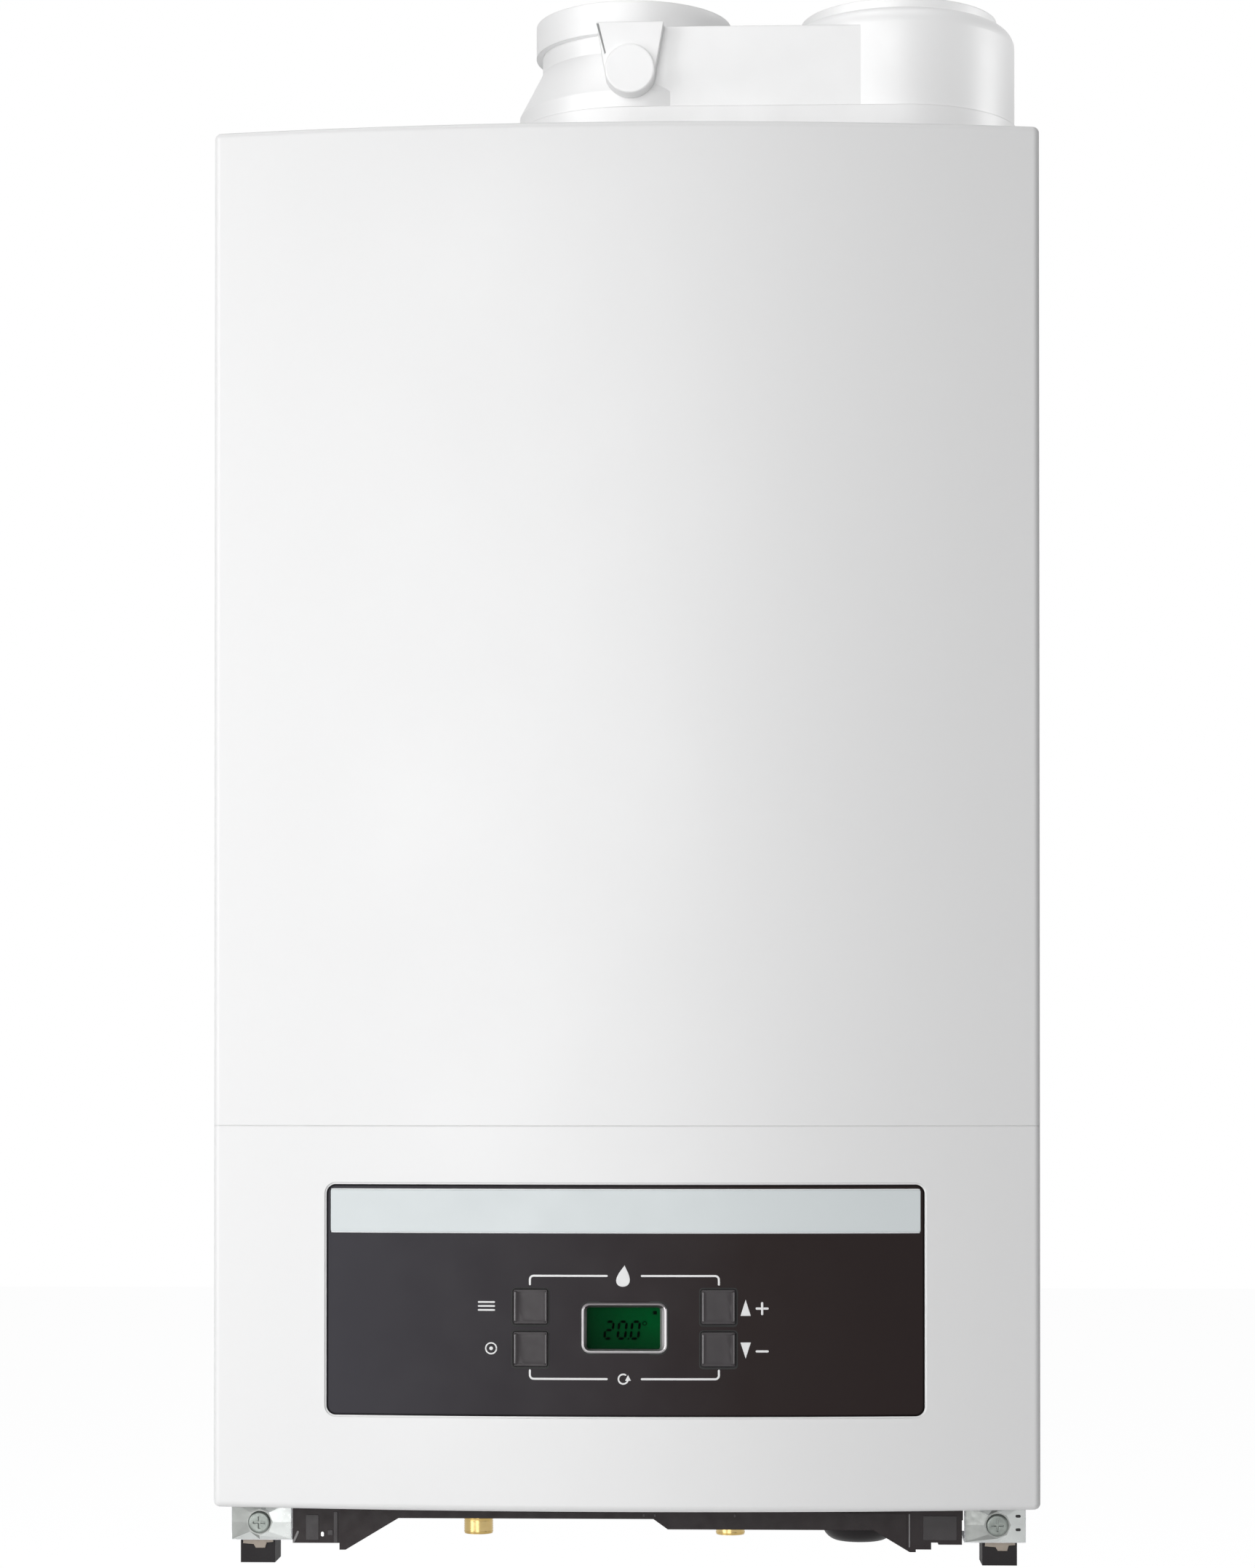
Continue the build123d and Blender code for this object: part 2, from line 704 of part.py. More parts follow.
def wall_bracket():
    seat = hook_seat()
    plate = block((-BRACKET_W / 2, BRACKET_W / 2), (-BRACKET_T, 0), (seat - BRACKET_H, seat))
    for side in (-1, 1):
        x = (side * HOOK_X - HOOK_W / 2, side * HOOK_X + HOOK_W / 2)
        reach = BACK_FACE - 1 - BRACKET_T
        plate += block(x, (reach, 0), (seat - BRACKET_T, seat))
        plate += block(x, (reach, reach + BRACKET_T - 1), (seat - BRACKET_T, seat + HOOK_UP))
        bolt_x = side * BOLT_SPACING / 2
        plate -= along_y(bolt_x, bolt_level(), (-BRACKET_T - 1, 1), BOLT_HOLE_R)
    return plate


def bolt_level():
    return hook_seat() - BRACKET_H + 20


def wall_channel():
    """Channel that holds the lower back off the wall."""
    x = (-SPACER_W / 2, SPACER_W / 2)
    z = (-SPACER_DROP, SPACER_H - SPACER_DROP)
    outer = block(x, (-BACK_GAP, 0), z)
    inner_z = (z[0] + SPACER_T, z[1] - SPACER_T)
    hollow = block((x[0] - 1, x[1] + 1), (-BACK_GAP - 1, -SPACER_T), inner_z)
    return outer - hollow


def exchanger_arms():
    """Two folded arms that carry the heat exchanger."""
    arms = []
    z = (HX_Z0 + ARM_UP, HX_Z0 + ARM_UP + ARM_H)
    for outer, inward in ((HX_X0 + 1, 1), (HX_X1 - 1, -1)):
        x = sorted((outer, outer + inward * ARM_T))
        wide = sorted((outer, outer + inward * ARM_W))
        arms.append(block(x, (HX_REAR, BACK_FACE), z) + block(wide, (HX_REAR, HX_REAR + ARM_T), z))
    return arms


# ---------------------------------------------------------------- underside
def corner_bracket(side):
    """Folded corner that carries the tray and a foot."""
    x = sorted((side * CORNER_IN, side * CORNER_OUT))
    tongue = sorted((side * TONGUE_X, side * CORNER_OUT))
    y0 = CORNER_FRONT
    front = block(x, (y0, y0 + CORNER_T), (-CORNER_DROP, 0))
    shelf = block(tongue, (y0 + 4, y0 + CORNER_SHELF_D), (-CORNER_T, 0))
    shelf += block(x, (y0, y0 + CORNER_SHELF_D), (-CORNER_T, 0))
    foot = block(x, (y0, y0 + CORNER_FOOT_D), (-CORNER_DROP, -CORNER_DROP + CORNER_T))
    side_x = sorted((side * (CORNER_OUT - CORNER_T), side * CORNER_OUT))
    web = block(side_x, (y0, y0 + CORNER_FOOT_D), (-CORNER_DROP, 0))
    hole = along_y(side * SCREW_X, SCREW_Z, (y0 - 1, y0 + CORNER_T + 1), SCREW_R + NEST)
    return front + shelf + foot + web - hole


def cover_screws():
    screws = []
    for side in (-1, 1):
        x = side * SCREW_X
        head = along_y(x, SCREW_Z, (CORNER_FRONT - SCREW_HEAD_T, CORNER_FRONT), SCREW_HEAD_R)
        head = fillet(head.edges().group_by(Axis.Y)[0], HEAD_ROUND)
        face = CORNER_FRONT - SCREW_HEAD_T
        for w, h in ((RECESS_L, RECESS_W), (RECESS_W, RECESS_L)):
            cut = (face - 1, face + RECESS_D)
            head -= block((x - w / 2, x + w / 2), cut, (SCREW_Z - h / 2, SCREW_Z + h / 2))
        shank = along_y(x, SCREW_Z, (CORNER_FRONT, CORNER_FRONT + SCREW_L), SCREW_R)
        screws.append(head + shank)
    return screws


def corner_feet():
    feet = []
    for side in (-1, 1):
        x = side * FOOT_X
        y = CORNER_FRONT + 4
        z = (-CORNER_DROP - FOOT_H, -CORNER_DROP)
        feet.append(block((x - FOOT_W / 2, x + FOOT_W / 2), (y, y + FOOT_D), z))
    return Compound(feet)


def bottom_tray():
    """Black tray under the control box, with its hinge ears and gussets."""
    z = (TRAY_TOP - TRAY_T, TRAY_TOP)
    tray = block((-TRAY_HALF_W, TRAY_HALF_W), (TRAY_FRONT, TRAY_REAR), z)
    front = (TRAY_FRONT, TRAY_FRONT + 3)
    for side in (-1, 1):
        pad = sorted((side * (TONGUE_X + 1), side * TRAY_HALF_W))
        tray += block(pad, (CORNER_FRONT + 4, TRAY_REAR), (TRAY_TOP, -CORNER_T))
        near = LUG_X + LUG_T / 2 + EAR_GAP
        ear_x = sorted((side * near, side * (near + EAR_T)))
        ear = block(ear_x, (PIVOT_Y - LUG_R, PIVOT_Y + LUG_R), (TRAY_TOP, PIVOT_Z))
        ear += along_x(PIVOT_Y, PIVOT_Z, ear_x, LUG_R)
        tray += ear - along_x(PIVOT_Y, PIVOT_Z, (ear_x[0] - 1, ear_x[1] + 1), PIN_R + RUNNING)
    low = TRAY_TOP - TRAY_T
    end = TRAY_HALF_W - GUSSET_INSET
    tray += block((-TRAY_HALF_W, -end), (TRAY_FRONT, TRAY_FRONT + END_WALL_D), (-END_WALL_DROP, low))
    for side in (-1, 1):
        outline = [(0, low), (0, -GUSSET_DROP), (-GUSSET_TIP_W, -GUSSET_DROP), (-GUSSET_TOP_W, low)]
        outline = [(side * (end + x), z) for x, z in outline]
        tray += side_outline(outline, (TRAY_FRONT, TRAY_FRONT + GUSSET_T))
    slope = [(RIB_X0, low), (RIB_X0 + RIB_SLOPE, -RIB_DROP), (RIB_X1, -RIB_DROP), (RIB_X1, low)]
    tray += side_outline(slope, (TRAY_FRONT, TRAY_FRONT + RIB_D))
    lip = (TRAY_FRONT, TRAY_FRONT + LIP_T)
    tray += block((RIB_X1, LIP_X1), lip, (-RIB_DROP, low))
    tray += block((end - 1 + LATCH_W, TRAY_HALF_W - TAB_W), lip, (-TAB_DROP + 1, low))
    latch = (TRAY_FRONT, TRAY_FRONT + LATCH_D)
    tray += block((end - 1, end - 1 + LATCH_W), latch, (-LATCH_DROP, low))
    tray += block((TRAY_HALF_W - TAB_W - 0.5, TRAY_HALF_W - 0.5), latch, (-TAB_DROP, low))
    return tray - upright(SIPHON_X, SIPHON_Y, (low - 1, 1), SIPHON_HOLE)


# ---------------------------------------------------------------- control box
def control_fascia():
    middle = (0, WINDOW_MID)
    face = inlay(middle, (FASCIA_W, FASCIA_H), WINDOW_R - WINDOW_CLEAR, FASCIA_RECESS, FASCIA_BACK)
    flange = inlay(middle, (BOX_W, BOX_H), WINDOW_R + BOX_LAP, BOX_FLANGE, BOX_FLANGE + BOX_WALL)
    hollow = (BOX_W - 2 * BOX_WALL, BOX_H - 2 * BOX_WALL)
    flange -= front_prism(middle, hollow, WINDOW_R, (-CASE_D, BOX_SPLIT)) & bowed_prism(
        HALF_W - 10, BOX_SPLIT, (0, CASE_H), FASCIA_BACK
    )
    rim = front_prism(middle, (BOX_W, BOX_H), WINDOW_R + BOX_LAP, (-CASE_D, BOX_SPLIT))
    rim -= front_prism(middle, hollow, WINDOW_R, (-CASE_D - 1, BOX_SPLIT + 1))
    rim &= bowed_prism(HALF_W - 10, BOX_SPLIT + 1, (0, CASE_H), BOX_FLANGE)
    fascia = face + flange + rim
    lip = 2 * BUTTON_CLEAR
    through = (-CASE_D - 1, -CASE_D + FASCIA_BACK + 8)
    for x, z in button_places():
        hole = (BUTTON_SIZE + lip, BUTTON_SIZE + lip)
        fascia -= front_prism((x, z), hole, BUTTON_R + BUTTON_CLEAR, through)
    hole = (DISPLAY_W + 2 * NEST, DISPLAY_H + 2 * NEST)
    fascia -= front_prism(display_middle(), hole, DISPLAY_R, through)
    fascia -= strip_inlay(-1, FASCIA_RECESS + STRIP_T + NEST, NEST)
    for x, z in display_posts():
        post = along_y(x, z, (-CASE_D + 2, DISPLAY_BOARD_Y), POST_R)
        fascia += post & bowed_prism(HALF_W - 10, BOX_SPLIT, (0, CASE_H), FASCIA_RECESS + 1)
    return fascia


def display_middle():
    return (0, BUTTON_ROW_Z)


def button_places():
    return [(side * BUTTON_X, z) for side in (-1, 1) for z in BUTTON_LEVELS]


def display_posts():
    x = DISPLAY_BOARD_W / 2 - 5
    z = DISPLAY_BOARD_H / 2 - 5
    return [(a * x, BUTTON_ROW_Z + b * z) for a in (-1, 1) for b in (-1, 1)]


def strip_inlay(near, far, grow):
    """Light strip along the top of the fascia, or with `grow` the recess that it lies in."""
    top = WINDOW_Z1 - WINDOW_CLEAR - STRIP_TOP_MARGIN
    size = (FASCIA_W - 2 * STRIP_TOP_MARGIN + 2 * grow, STRIP_H + 2 * grow)
    return inlay((0, top - STRIP_H / 2), size, 1.5, near, far)


def fascia_strip():
    return strip_inlay(FASCIA_RECESS, FASCIA_RECESS + STRIP_T, 0)


def display_bezel():
    near = FASCIA_RECESS - DISPLAY_PROUD
    rear = FASCIA_BACK + BEZEL_LIP
    ring = inlay(display_middle(), (DISPLAY_W, DISPLAY_H), DISPLAY_R, near, rear)
    wide = (DISPLAY_W + 4, DISPLAY_H + 4)
    lip = inlay(display_middle(), wide, DISPLAY_R, FASCIA_BACK + NEST, rear)
    hole = (DISPLAY_W - 2 * DISPLAY_RIM, DISPLAY_H - 2 * DISPLAY_RIM)
    through = (-CASE_D - 5, DISPLAY_BOARD_Y)
    return ring + lip - front_prism(display_middle(), hole, DISPLAY_R - DISPLAY_RIM, through)


def display_glass(y):
    """Plate that fills the bezel's opening, between two depths."""
    size = (DISPLAY_W - 2 * DISPLAY_RIM - 2 * NEST, DISPLAY_H - 2 * DISPLAY_RIM - 2 * NEST)
    return front_prism(display_middle(), size, DISPLAY_R - DISPLAY_RIM - NEST, y)


def display_lens():
    return display_glass((lens_front(), lens_front() + LENS_T))


def lens_front():
    return -CASE_D + FASCIA_RECESS + 0.4


def lcd_panel():
    """Glass of the display, standing on the display board."""
    front = lens_front() + LENS_T
    carrier = (front + LCD_T, DISPLAY_BOARD_Y)
    size = (DISPLAY_W - 8, DISPLAY_H - 8)
    return display_glass((front, front + LCD_T)) + front_prism(display_middle(), size, 1, carrier)


def display_board():
    size = (DISPLAY_BOARD_W, DISPLAY_BOARD_H)
    return front_prism((0, BUTTON_ROW_Z), size, 2, (DISPLAY_BOARD_Y, DISPLAY_BOARD_Y + PCB_T))


def button(x, z):
    """Cap, retaining lip and stem of one key."""
    rear = FASCIA_BACK + FIT + 1
    cap = inlay((x, z), (BUTTON_SIZE, BUTTON_SIZE), BUTTON_R, FASCIA_RECESS - BUTTON_PROUD, rear)
    wide = BUTTON_SIZE + 2 * BUTTON_LIP
    lip = inlay((x, z), (wide, wide), BUTTON_R, FASCIA_BACK + FIT, rear)
    stem_end = DISPLAY_BOARD_Y - BUTTON_TRAVEL - FIT
    return cap + lip + along_y(x, z, (bow_y(x, FASCIA_BACK + FIT + 0.5), stem_end), STEM_R)


def control_box_rear():
    middle = (0, WINDOW_MID)
    shell = front_prism(middle, (BOX_W, BOX_H), WINDOW_R + BOX_LAP, (BOX_SPLIT, BOX_REAR))
    hollow = (BOX_W - 2 * BOX_WALL, BOX_H - 2 * BOX_WALL)
    shell -= front_prism(middle, hollow, WINDOW_R, (BOX_SPLIT - 1, BOX_REAR - BOX_WALL))
    for a in (-1, 1):
        for b in (-1, 1):
            x = a * (MAIN_BOARD_W / 2 - 6)
            z = WINDOW_MID + b * (MAIN_BOARD_H / 2 - 6)
            shell += along_y(x, z, (BOX_REAR - MAIN_BOARD_OFF, BOX_REAR - 1), POST_R + 0.5)
    for side in (-1, 1):
        x = (side * LUG_X - LUG_T / 2, side * LUG_X + LUG_T / 2)
        lug = block(x, (PIVOT_Y - LUG_R, PIVOT_Y + LUG_R), (PIVOT_Z, WINDOW_Z0 - BOX_LAP + 1))
        lug += along_x(PIVOT_Y, PIVOT_Z, x, LUG_R)
        shell += lug - along_x(PIVOT_Y, PIVOT_Z, (x[0] - 1, x[1] + 1), PIN_R)
    return shell


def circuit_boards():
    return Compound([display_board(), main_pcb()])


def hinge_pins():
    pins = []
    for side in (-1, 1):
        x = sorted((side * (LUG_X - LUG_T / 2), side * (LUG_X + LUG_T / 2 + EAR_GAP + EAR_T + 2)))
        pins.append(along_x(PIVOT_Y, PIVOT_Z, x, PIN_R))
    return Compound(pins)


def main_pcb():
    """Main board with its transformer, relays and plug rows."""
    face = BOX_REAR - MAIN_BOARD_OFF
    board = front_prism((0, WINDOW_MID), (MAIN_BOARD_W, MAIN_BOARD_H), 2, (face - PCB_T, face))
    front = face - PCB_T
    left = -MAIN_BOARD_W / 2
    low = WINDOW_MID - MAIN_BOARD_H / 2
    for (x, w, z, h, t, pitch), count in ((TRANSFORMER, 1), (RELAY, 4), (PLUG, 6), (PROCESSOR, 1)):
        for place in range(count):
            x0 = left + x + place * pitch
            board += block((x0, x0 + w), (front - t, front), (low + z, low + z + h))
    return board


# ---------------------------------------------------------------- flue adapter
def adapter_limits():
    x = (-ADAPTER_LEDGE_R + 1, AIR_X + ADAPTER_AIR_R)
    return x, (FLUE_Y - ADAPTER_LEDGE_R, FLUE_Y + ADAPTER_LEDGE_R)


def adapter_screw_places():
    x, y = adapter_limits()
    across = (x[0] + ADAPTER_SCREW_INSET, x[1] - ADAPTER_SCREW_INSET)
    deep = (y[0] + ADAPTER_SCREW_BACK, y[1] - ADAPTER_SCREW_BACK)
    return [(a, b) for a in across for b in deep]


def flue_adapter():
    """Twin-socket adapter: flue socket at the left, air socket at the right."""
    x, y = adapter_limits()
    base_top = CASE_H + ADAPTER_BASE_H
    body = plan_prism(x, y, (ADAPTER_Z0, ADAPTER_Z0 + ADAPTER_FLANGE_H), 14)
    ledge = (ADAPTER_Z0, CASE_H + ADAPTER_LEDGE_H)
    air = upright(AIR_X, FLUE_Y, (ADAPTER_Z0, ADAPTER_Z1 + ADAPTER_AIR_RISE), ADAPTER_AIR_R)
    air = fillet(air.edges().group_by(Axis.Z)[-1], ADAPTER_SHOULDER)
    flare = Pos(0, FLUE_Y, base_top) * Cone(
        ADAPTER_BASE_R, ADAPTER_FLUE_R, ADAPTER_FLARE_H, align=(Align.CENTER, Align.CENTER, Align.MIN)
    )
    flue = upright(0, FLUE_Y, (ADAPTER_Z0, base_top), ADAPTER_BASE_R) + flare
    flue += upright(0, FLUE_Y, (ADAPTER_Z0, ADAPTER_Z1), ADAPTER_FLUE_R)
    half_wall = ADAPTER_AIR_R - WALL_RECESS
    web_y = (FLUE_Y - half_wall, FLUE_Y + half_wall)
    web = block((0, AIR_X), web_y, (ADAPTER_Z0, ADAPTER_Z1))
    ledge_web = block((0, AIR_X), (y[0], y[1]), ledge)
    ledge_air = upright(AIR_X, FLUE_Y, ledge, ADAPTER_LEDGE_R) & block((0, x[1]), (y[0], y[1]), ledge)
    ledge_flue = upright(0, FLUE_Y, ledge, ADAPTER_LEDGE_R) & block((x[0], AIR_X), (y[0], y[1]), ledge)
    body += air + flue + web + ledge_web + ledge_air + ledge_flue
    boss_z = CASE_H + BOSS_Z_UP
    body += side_outline(
        [
            (BOSS_X - BOSS_TOP_W / 2, ADAPTER_Z1),
            (BOSS_X - BOSS_LOW_W / 2, boss_z),
            (BOSS_X + BOSS_LOW_W / 2, boss_z),
            (BOSS_X + BOSS_TOP_W / 2, ADAPTER_Z1),
        ],
        (BOSS_FACE_Y, FLUE_Y - SOCKET_R - 1),
    )
    body += along_y(BOSS_X, boss_z, (BOSS_FACE_Y, FLUE_Y - SOCKET_R - 1), BOSS_LOW_W / 2)
    body -= along_y(BOSS_X, boss_z, (BOSS_FACE_Y - 1, BOSS_FACE_Y + PLUG_L + 2), PLUG_R)
    for centre in (0, AIR_X):
        body += upright(centre, FLUE_Y, (ADAPTER_Z1 - 1, RIM_TOP), RIM_R)
        rim_groove = ((centre, FLUE_Y, RIM_TOP - RIM_GROOVE_H), (centre, FLUE_Y, RIM_TOP + 1))
        body -= tube(*rim_groove, RIM_R - RIM_WALL, SOCKET_R + SEAL_GROOVE + 2)
        body -= upright(centre, FLUE_Y, (SOCKET_Z0, RIM_TOP + 1), SOCKET_R)
        groove = (RIM_TOP - SEAL_DOWN - SEAL_H, RIM_TOP - SEAL_DOWN)
        body -= upright(centre, FLUE_Y, groove, SOCKET_R + SEAL_GROOVE)
    body -= upright(0, FLUE_Y, (duct_top(), SOCKET_Z0 + 1), DUCT_R - DUCT_WALL)
    body -= upright(0, FLUE_Y, (ADAPTER_Z0 - 1, duct_top()), DUCT_R + NEST)
    body += upright(AIR_X, FLUE_Y, (CASE_H - SPIGOT_L, ADAPTER_Z0), SPIGOT_R)
    body -= upright(AIR_X, FLUE_Y, (CASE_H - SPIGOT_L - 1, SOCKET_Z0 + 1), SPIGOT_R - DUCT_WALL)
    hollow_x = (ADAPTER_BASE_R + 3, AIR_X - SOCKET_R - 6)
    if hollow_x[1] - hollow_x[0] > 4:
        body -= block(hollow_x, (web_y[0] + 4, web_y[1] - 4), (ADAPTER_Z0 - 1, ADAPTER_Z1 - 4))
    screw_z = (ADAPTER_Z0 - 1, ADAPTER_Z0 + ADAPTER_FLANGE_H + 1)
    for a, b in adapter_screw_places():
        body -= upright(a, b, screw_z, ADAPTER_SCREW_R + NEST)
    return body


def duct_top():
    """Level where the flue duct meets the ledge inside the adapter."""
    return SOCKET_Z0 - 5


def adapter_gasket():
    x, y = adapter_limits()
    sheet = plan_prism(x, y, (CASE_H, ADAPTER_Z0), 14)
    sheet -= upright(0, FLUE_Y, (CASE_H - 1, ADAPTER_Z0 + 1), DUCT_R + 2)
    sheet -= upright(AIR_X, FLUE_Y, (CASE_H - 1, ADAPTER_Z0 + 1), SPIGOT_R + NEST)
    for a, b in adapter_screw_places():
        sheet -= upright(a, b, (CASE_H - 1, ADAPTER_Z0 + 1), ADAPTER_SCREW_R + NEST)
    return sheet


def socket_seals():
    seals = []
    z = (RIM_TOP - SEAL_DOWN - SEAL_H, RIM_TOP - SEAL_DOWN)
    for centre in (0, AIR_X):
        outer = SOCKET_R + SEAL_GROOVE - RUNNING
        seals.append(tube((centre, FLUE_Y, z[0]), (centre, FLUE_Y, z[1]), outer, SOCKET_R + RUNNING))
    return seals


def adapter_seals():
    return Compound([adapter_gasket(), *socket_seals()])


def adapter_screws():
    screws = []
    seat = ADAPTER_Z0 + ADAPTER_FLANGE_H
    for a, b in adapter_screw_places():
        screw = upright(a, b, (seat - ADAPTER_SCREW_L, seat), ADAPTER_SCREW_R)
        screw += upright(a, b, (seat, seat + 3), ADAPTER_SCREW_R * 1.8)
        screws.append(screw - hexagon(a, b, (seat + 1, seat + 4), ADAPTER_SCREW_R))
    return screws


def case_screws():
    return Compound(cover_screws() + adapter_screws())


def test_point_cap():
    z = CASE_H + BOSS_Z_UP
    cap = along_y(BOSS_X, z, (BOSS_FACE_Y - CAP_T, BOSS_FACE_Y), CAP_R)
    cap = fillet(cap.edges().group_by(Axis.Y)[0], 1)
    return cap + along_y(BOSS_X, z, (BOSS_FACE_Y, BOSS_FACE_Y + PLUG_L), PLUG_R - RUNNING)


def flue_duct():
    """Pipe from the sump up behind the heat exchanger to the flue socket."""
    low = HOOD_TOP + 20
    high = ADAPTER_Z0 - 30
    points = [(0, DUCT_Y, SUMP_REAR_TOP), (0, DUCT_Y, low), (0, FLUE_Y, high), (0, FLUE_Y, duct_top())]
    return bent_tube(points, DUCT_BEND, DUCT_R, DUCT_R - DUCT_WALL)


# ---------------------------------------------------------------- heat engine
def condensate_sump():
    """Plastic collector under the heat exchanger, with the flue gas turning up at its rear."""
    main = plan_prism((HX_X0, HX_X1), (HX_FRONT, HX_REAR), (SUMP_Z0, HX_Z0), HX_R)
    rear_y = (HX_REAR - HX_R - 2, DUCT_Y + DUCT_R + 6)
    half = SUMP_REAR_HALF_W
    rear = block((-half, half), rear_y, (SUMP_Z0, SUMP_REAR_TOP))
    wall = SUMP_WALL
    inner_x = (HX_X0 + wall, HX_X1 - wall)
    inner_y = (HX_FRONT + wall, HX_REAR - wall)
    main -= plan_prism(inner_x, inner_y, (SUMP_Z0 + wall, HX_Z0 + 1), HX_R - wall)
    body = main + rear
    inner_y = (HX_REAR - HX_R - 5, rear_y[1] - wall)
    body -= block((-half + wall, half - wall), inner_y, (SUMP_Z0 + wall, SUMP_REAR_TOP - wall))
    body -= upright(0, DUCT_Y, (SUMP_Z0 + wall, SUMP_REAR_TOP + 1), DUCT_R - DUCT_WALL)
    collar = ((0, DUCT_Y, SUMP_REAR_TOP), (0, DUCT_Y, SUMP_REAR_TOP + SUMP_COLLAR_H))
    body += tube(*collar, DUCT_R + 4, DUCT_R + NEST)
    spigot = (FLOOR_TOP + 4, SUMP_Z0 + 1)
    body += upright(CONDENSATE_X, SIPHON_Y, spigot, SPIGOT_SMALL_R)
    return body - upright(CONDENSATE_X, SIPHON_Y, (spigot[0] - 1, SUMP_Z0 + wall + 1), SPIGOT_SMALL_R - 2)


def heat_exchanger():
    """Cast block: combustion chamber on top, gas passages between fins below, water ports."""
    outer = plan_prism((HX_X0, HX_X1), (HX_FRONT, HX_REAR), (HX_Z0, HX_TOP), HX_R)
    inner_x = (HX_X0 + HX_WALL, HX_X1 - HX_WALL)
    inner_y = (HX_FRONT + HX_WALL, HX_REAR - HX_WALL)
    body = outer - block(inner_x, inner_y, (HX_TOP - CHAMBER_H, HX_TOP + 1))
    pitch = (inner_x[1] - inner_x[0] + HX_FIN_T) / HX_FIN_COUNT
    for place in range(HX_FIN_COUNT):
        x0 = inner_x[0] + place * pitch
        body -= block((x0, x0 + pitch - HX_FIN_T), inner_y, (HX_Z0 - 1, HX_TOP - CHAMBER_H + 1))
    body += along_y(flow_port_x(), flow_port_z(), (HX_REAR - 3, HX_REAR + PORT_NECK), PIPE_R + 4)
    body += along_x(RETURN_PORT_Y, return_port_z(), (HX_X1 - 3, HX_X1 + PORT_NECK), PIPE_R + 4)
    vent_y = (HX_FRONT + VENT_IN - VENT_BOSS / 2, HX_FRONT + VENT_IN + VENT_BOSS / 2)
    body += block((HX_X0 - VENT_BOSS, HX_X0 + 2), vent_y, (vent_z() - VENT_BOSS, vent_z()))
    for x in electrode_xs():
        body -= along_y(x, electrode_z(), (HX_FRONT - 1, HX_FRONT + HX_WALL + 1), ELECTRODE_BODY_R + FIT)
    return body


def flow_port_x():
    return -(DUCT_R + PIPE_R + FLOW_PORT_GAP)


def flow_port_z():
    return HX_TOP - VENT_DOWN


def return_port_z():
    return HX_Z0 + RETURN_PORT_UP


def vent_z():
    return HX_TOP - VENT_DOWN


def electrode_xs():
    middle = (HX_X0 + HX_X1) / 2
    return [middle - ELECTRODE_LEFT, middle - ELECTRODE_HALF, middle + ELECTRODE_HALF]


def electrode_z():
    return HX_TOP - BURNER_DROP - ELECTRODE_DOWN


def ignition_electrodes():
    """Two spark electrodes and one flame probe on a common flange."""
    xs = electrode_xs()
    z = electrode_z()
    size = (ELECTRODE_FLANGE_W, ELECTRODE_FLANGE_H)
    y = (HX_FRONT - ELECTRODE_FLANGE_T, HX_FRONT)
    body = front_prism(((xs[0] + xs[2]) / 2, z), size, ELECTRODE_FLANGE_R, y)
    inner = HX_FRONT + HX_WALL - RUNNING
    for x in xs:
        body += along_y(x, z, (HX_FRONT - ELECTRODE_OUT, inner), ELECTRODE_BODY_R)
        body += along_y(x, z, (inner, inner + ELECTRODE_IN), ELECTRODE_TIP_R)
    return body


def burner():
    """Flange and dished burner plate that hangs in the combustion chamber."""
    plate = plan_prism((HX_X0, HX_X1), (HX_FRONT, HX_REAR), (HX_TOP, HOOD_Z0), HX_R)
    gap = HX_WALL + BURNER_GAP
    x = (HX_X0 + gap, HX_X1 - gap)
    y = (HX_FRONT + gap, HX_REAR - gap)
    plate += plan_prism(x, y, (HX_TOP - BURNER_DROP, HX_TOP), 6)
    hollow = plan_prism(
        (x[0] + 1.5, x[1] - 1.5), (y[0] + 1.5, y[1] - 1.5), (HX_TOP - BURNER_DROP + 1.5, HOOD_Z0 + 1), 5
    )
    return plate - hollow


def burner_hood():
    """Mixing hood over the burner, with the fan's mouth in its top."""
    hood = plan_prism((HX_X0, HX_X1), (HX_FRONT, HX_REAR), (HOOD_Z0, HOOD_TOP), HX_R)
    hood = fillet(hood.edges().group_by(Axis.Z)[-1], 5)
    wall = HOOD_WALL
    side = 2 * wall
    inner_y = (HX_FRONT + side, HX_REAR - side)
    hood -= block((HX_X0 + side, HX_X1 - side), inner_y, (HOOD_Z0 - 1, HOOD_TOP - wall))
    return hood - block(mouth_x(), mouth_y(), (HOOD_TOP - wall - 1, HOOD_TOP + 1))


def mouth_x():
    return (FAN_OUTLET_X0 + FAN_WALL, HX_X1 - 9)


def mouth_y():
    return (FAN_FRONT + 3 + FAN_WALL, FAN_REAR - 3 - FAN_WALL)


def fan_housing():
    body = along_y(FAN_X, FAN_Z, (FAN_FRONT, FAN_REAR), FAN_R)
    outlet_y = (FAN_FRONT + 3, FAN_REAR - 3)
    body += block((FAN_OUTLET_X0, FAN_X), outlet_y, (HOOD_TOP, HOOD_TOP + FAN_OUTLET_H))
    body -= along_y(FAN_X, FAN_Z, (FAN_FRONT + FAN_WALL, FAN_REAR - FAN_WALL), FAN_R - FAN_WALL)
    duct = (HOOD_TOP + FAN_WALL, HOOD_TOP + FAN_OUTLET_H - FAN_WALL)
    body -= block((FAN_OUTLET_X0 + FAN_WALL, FAN_X), mouth_y(), duct)
    body -= block(mouth_x(), mouth_y(), (HOOD_TOP - 1, HOOD_TOP + FAN_WALL + 1))
    body -= along_y(FAN_X, FAN_Z, (FAN_REAR - FAN_WALL - 1, FAN_REAR + 1), FAN_INLET_R)
    return body - along_y(FAN_X, FAN_Z, (FAN_FRONT - 1, FAN_FRONT + FAN_WALL + 1), FAN_SHAFT_R + 3)


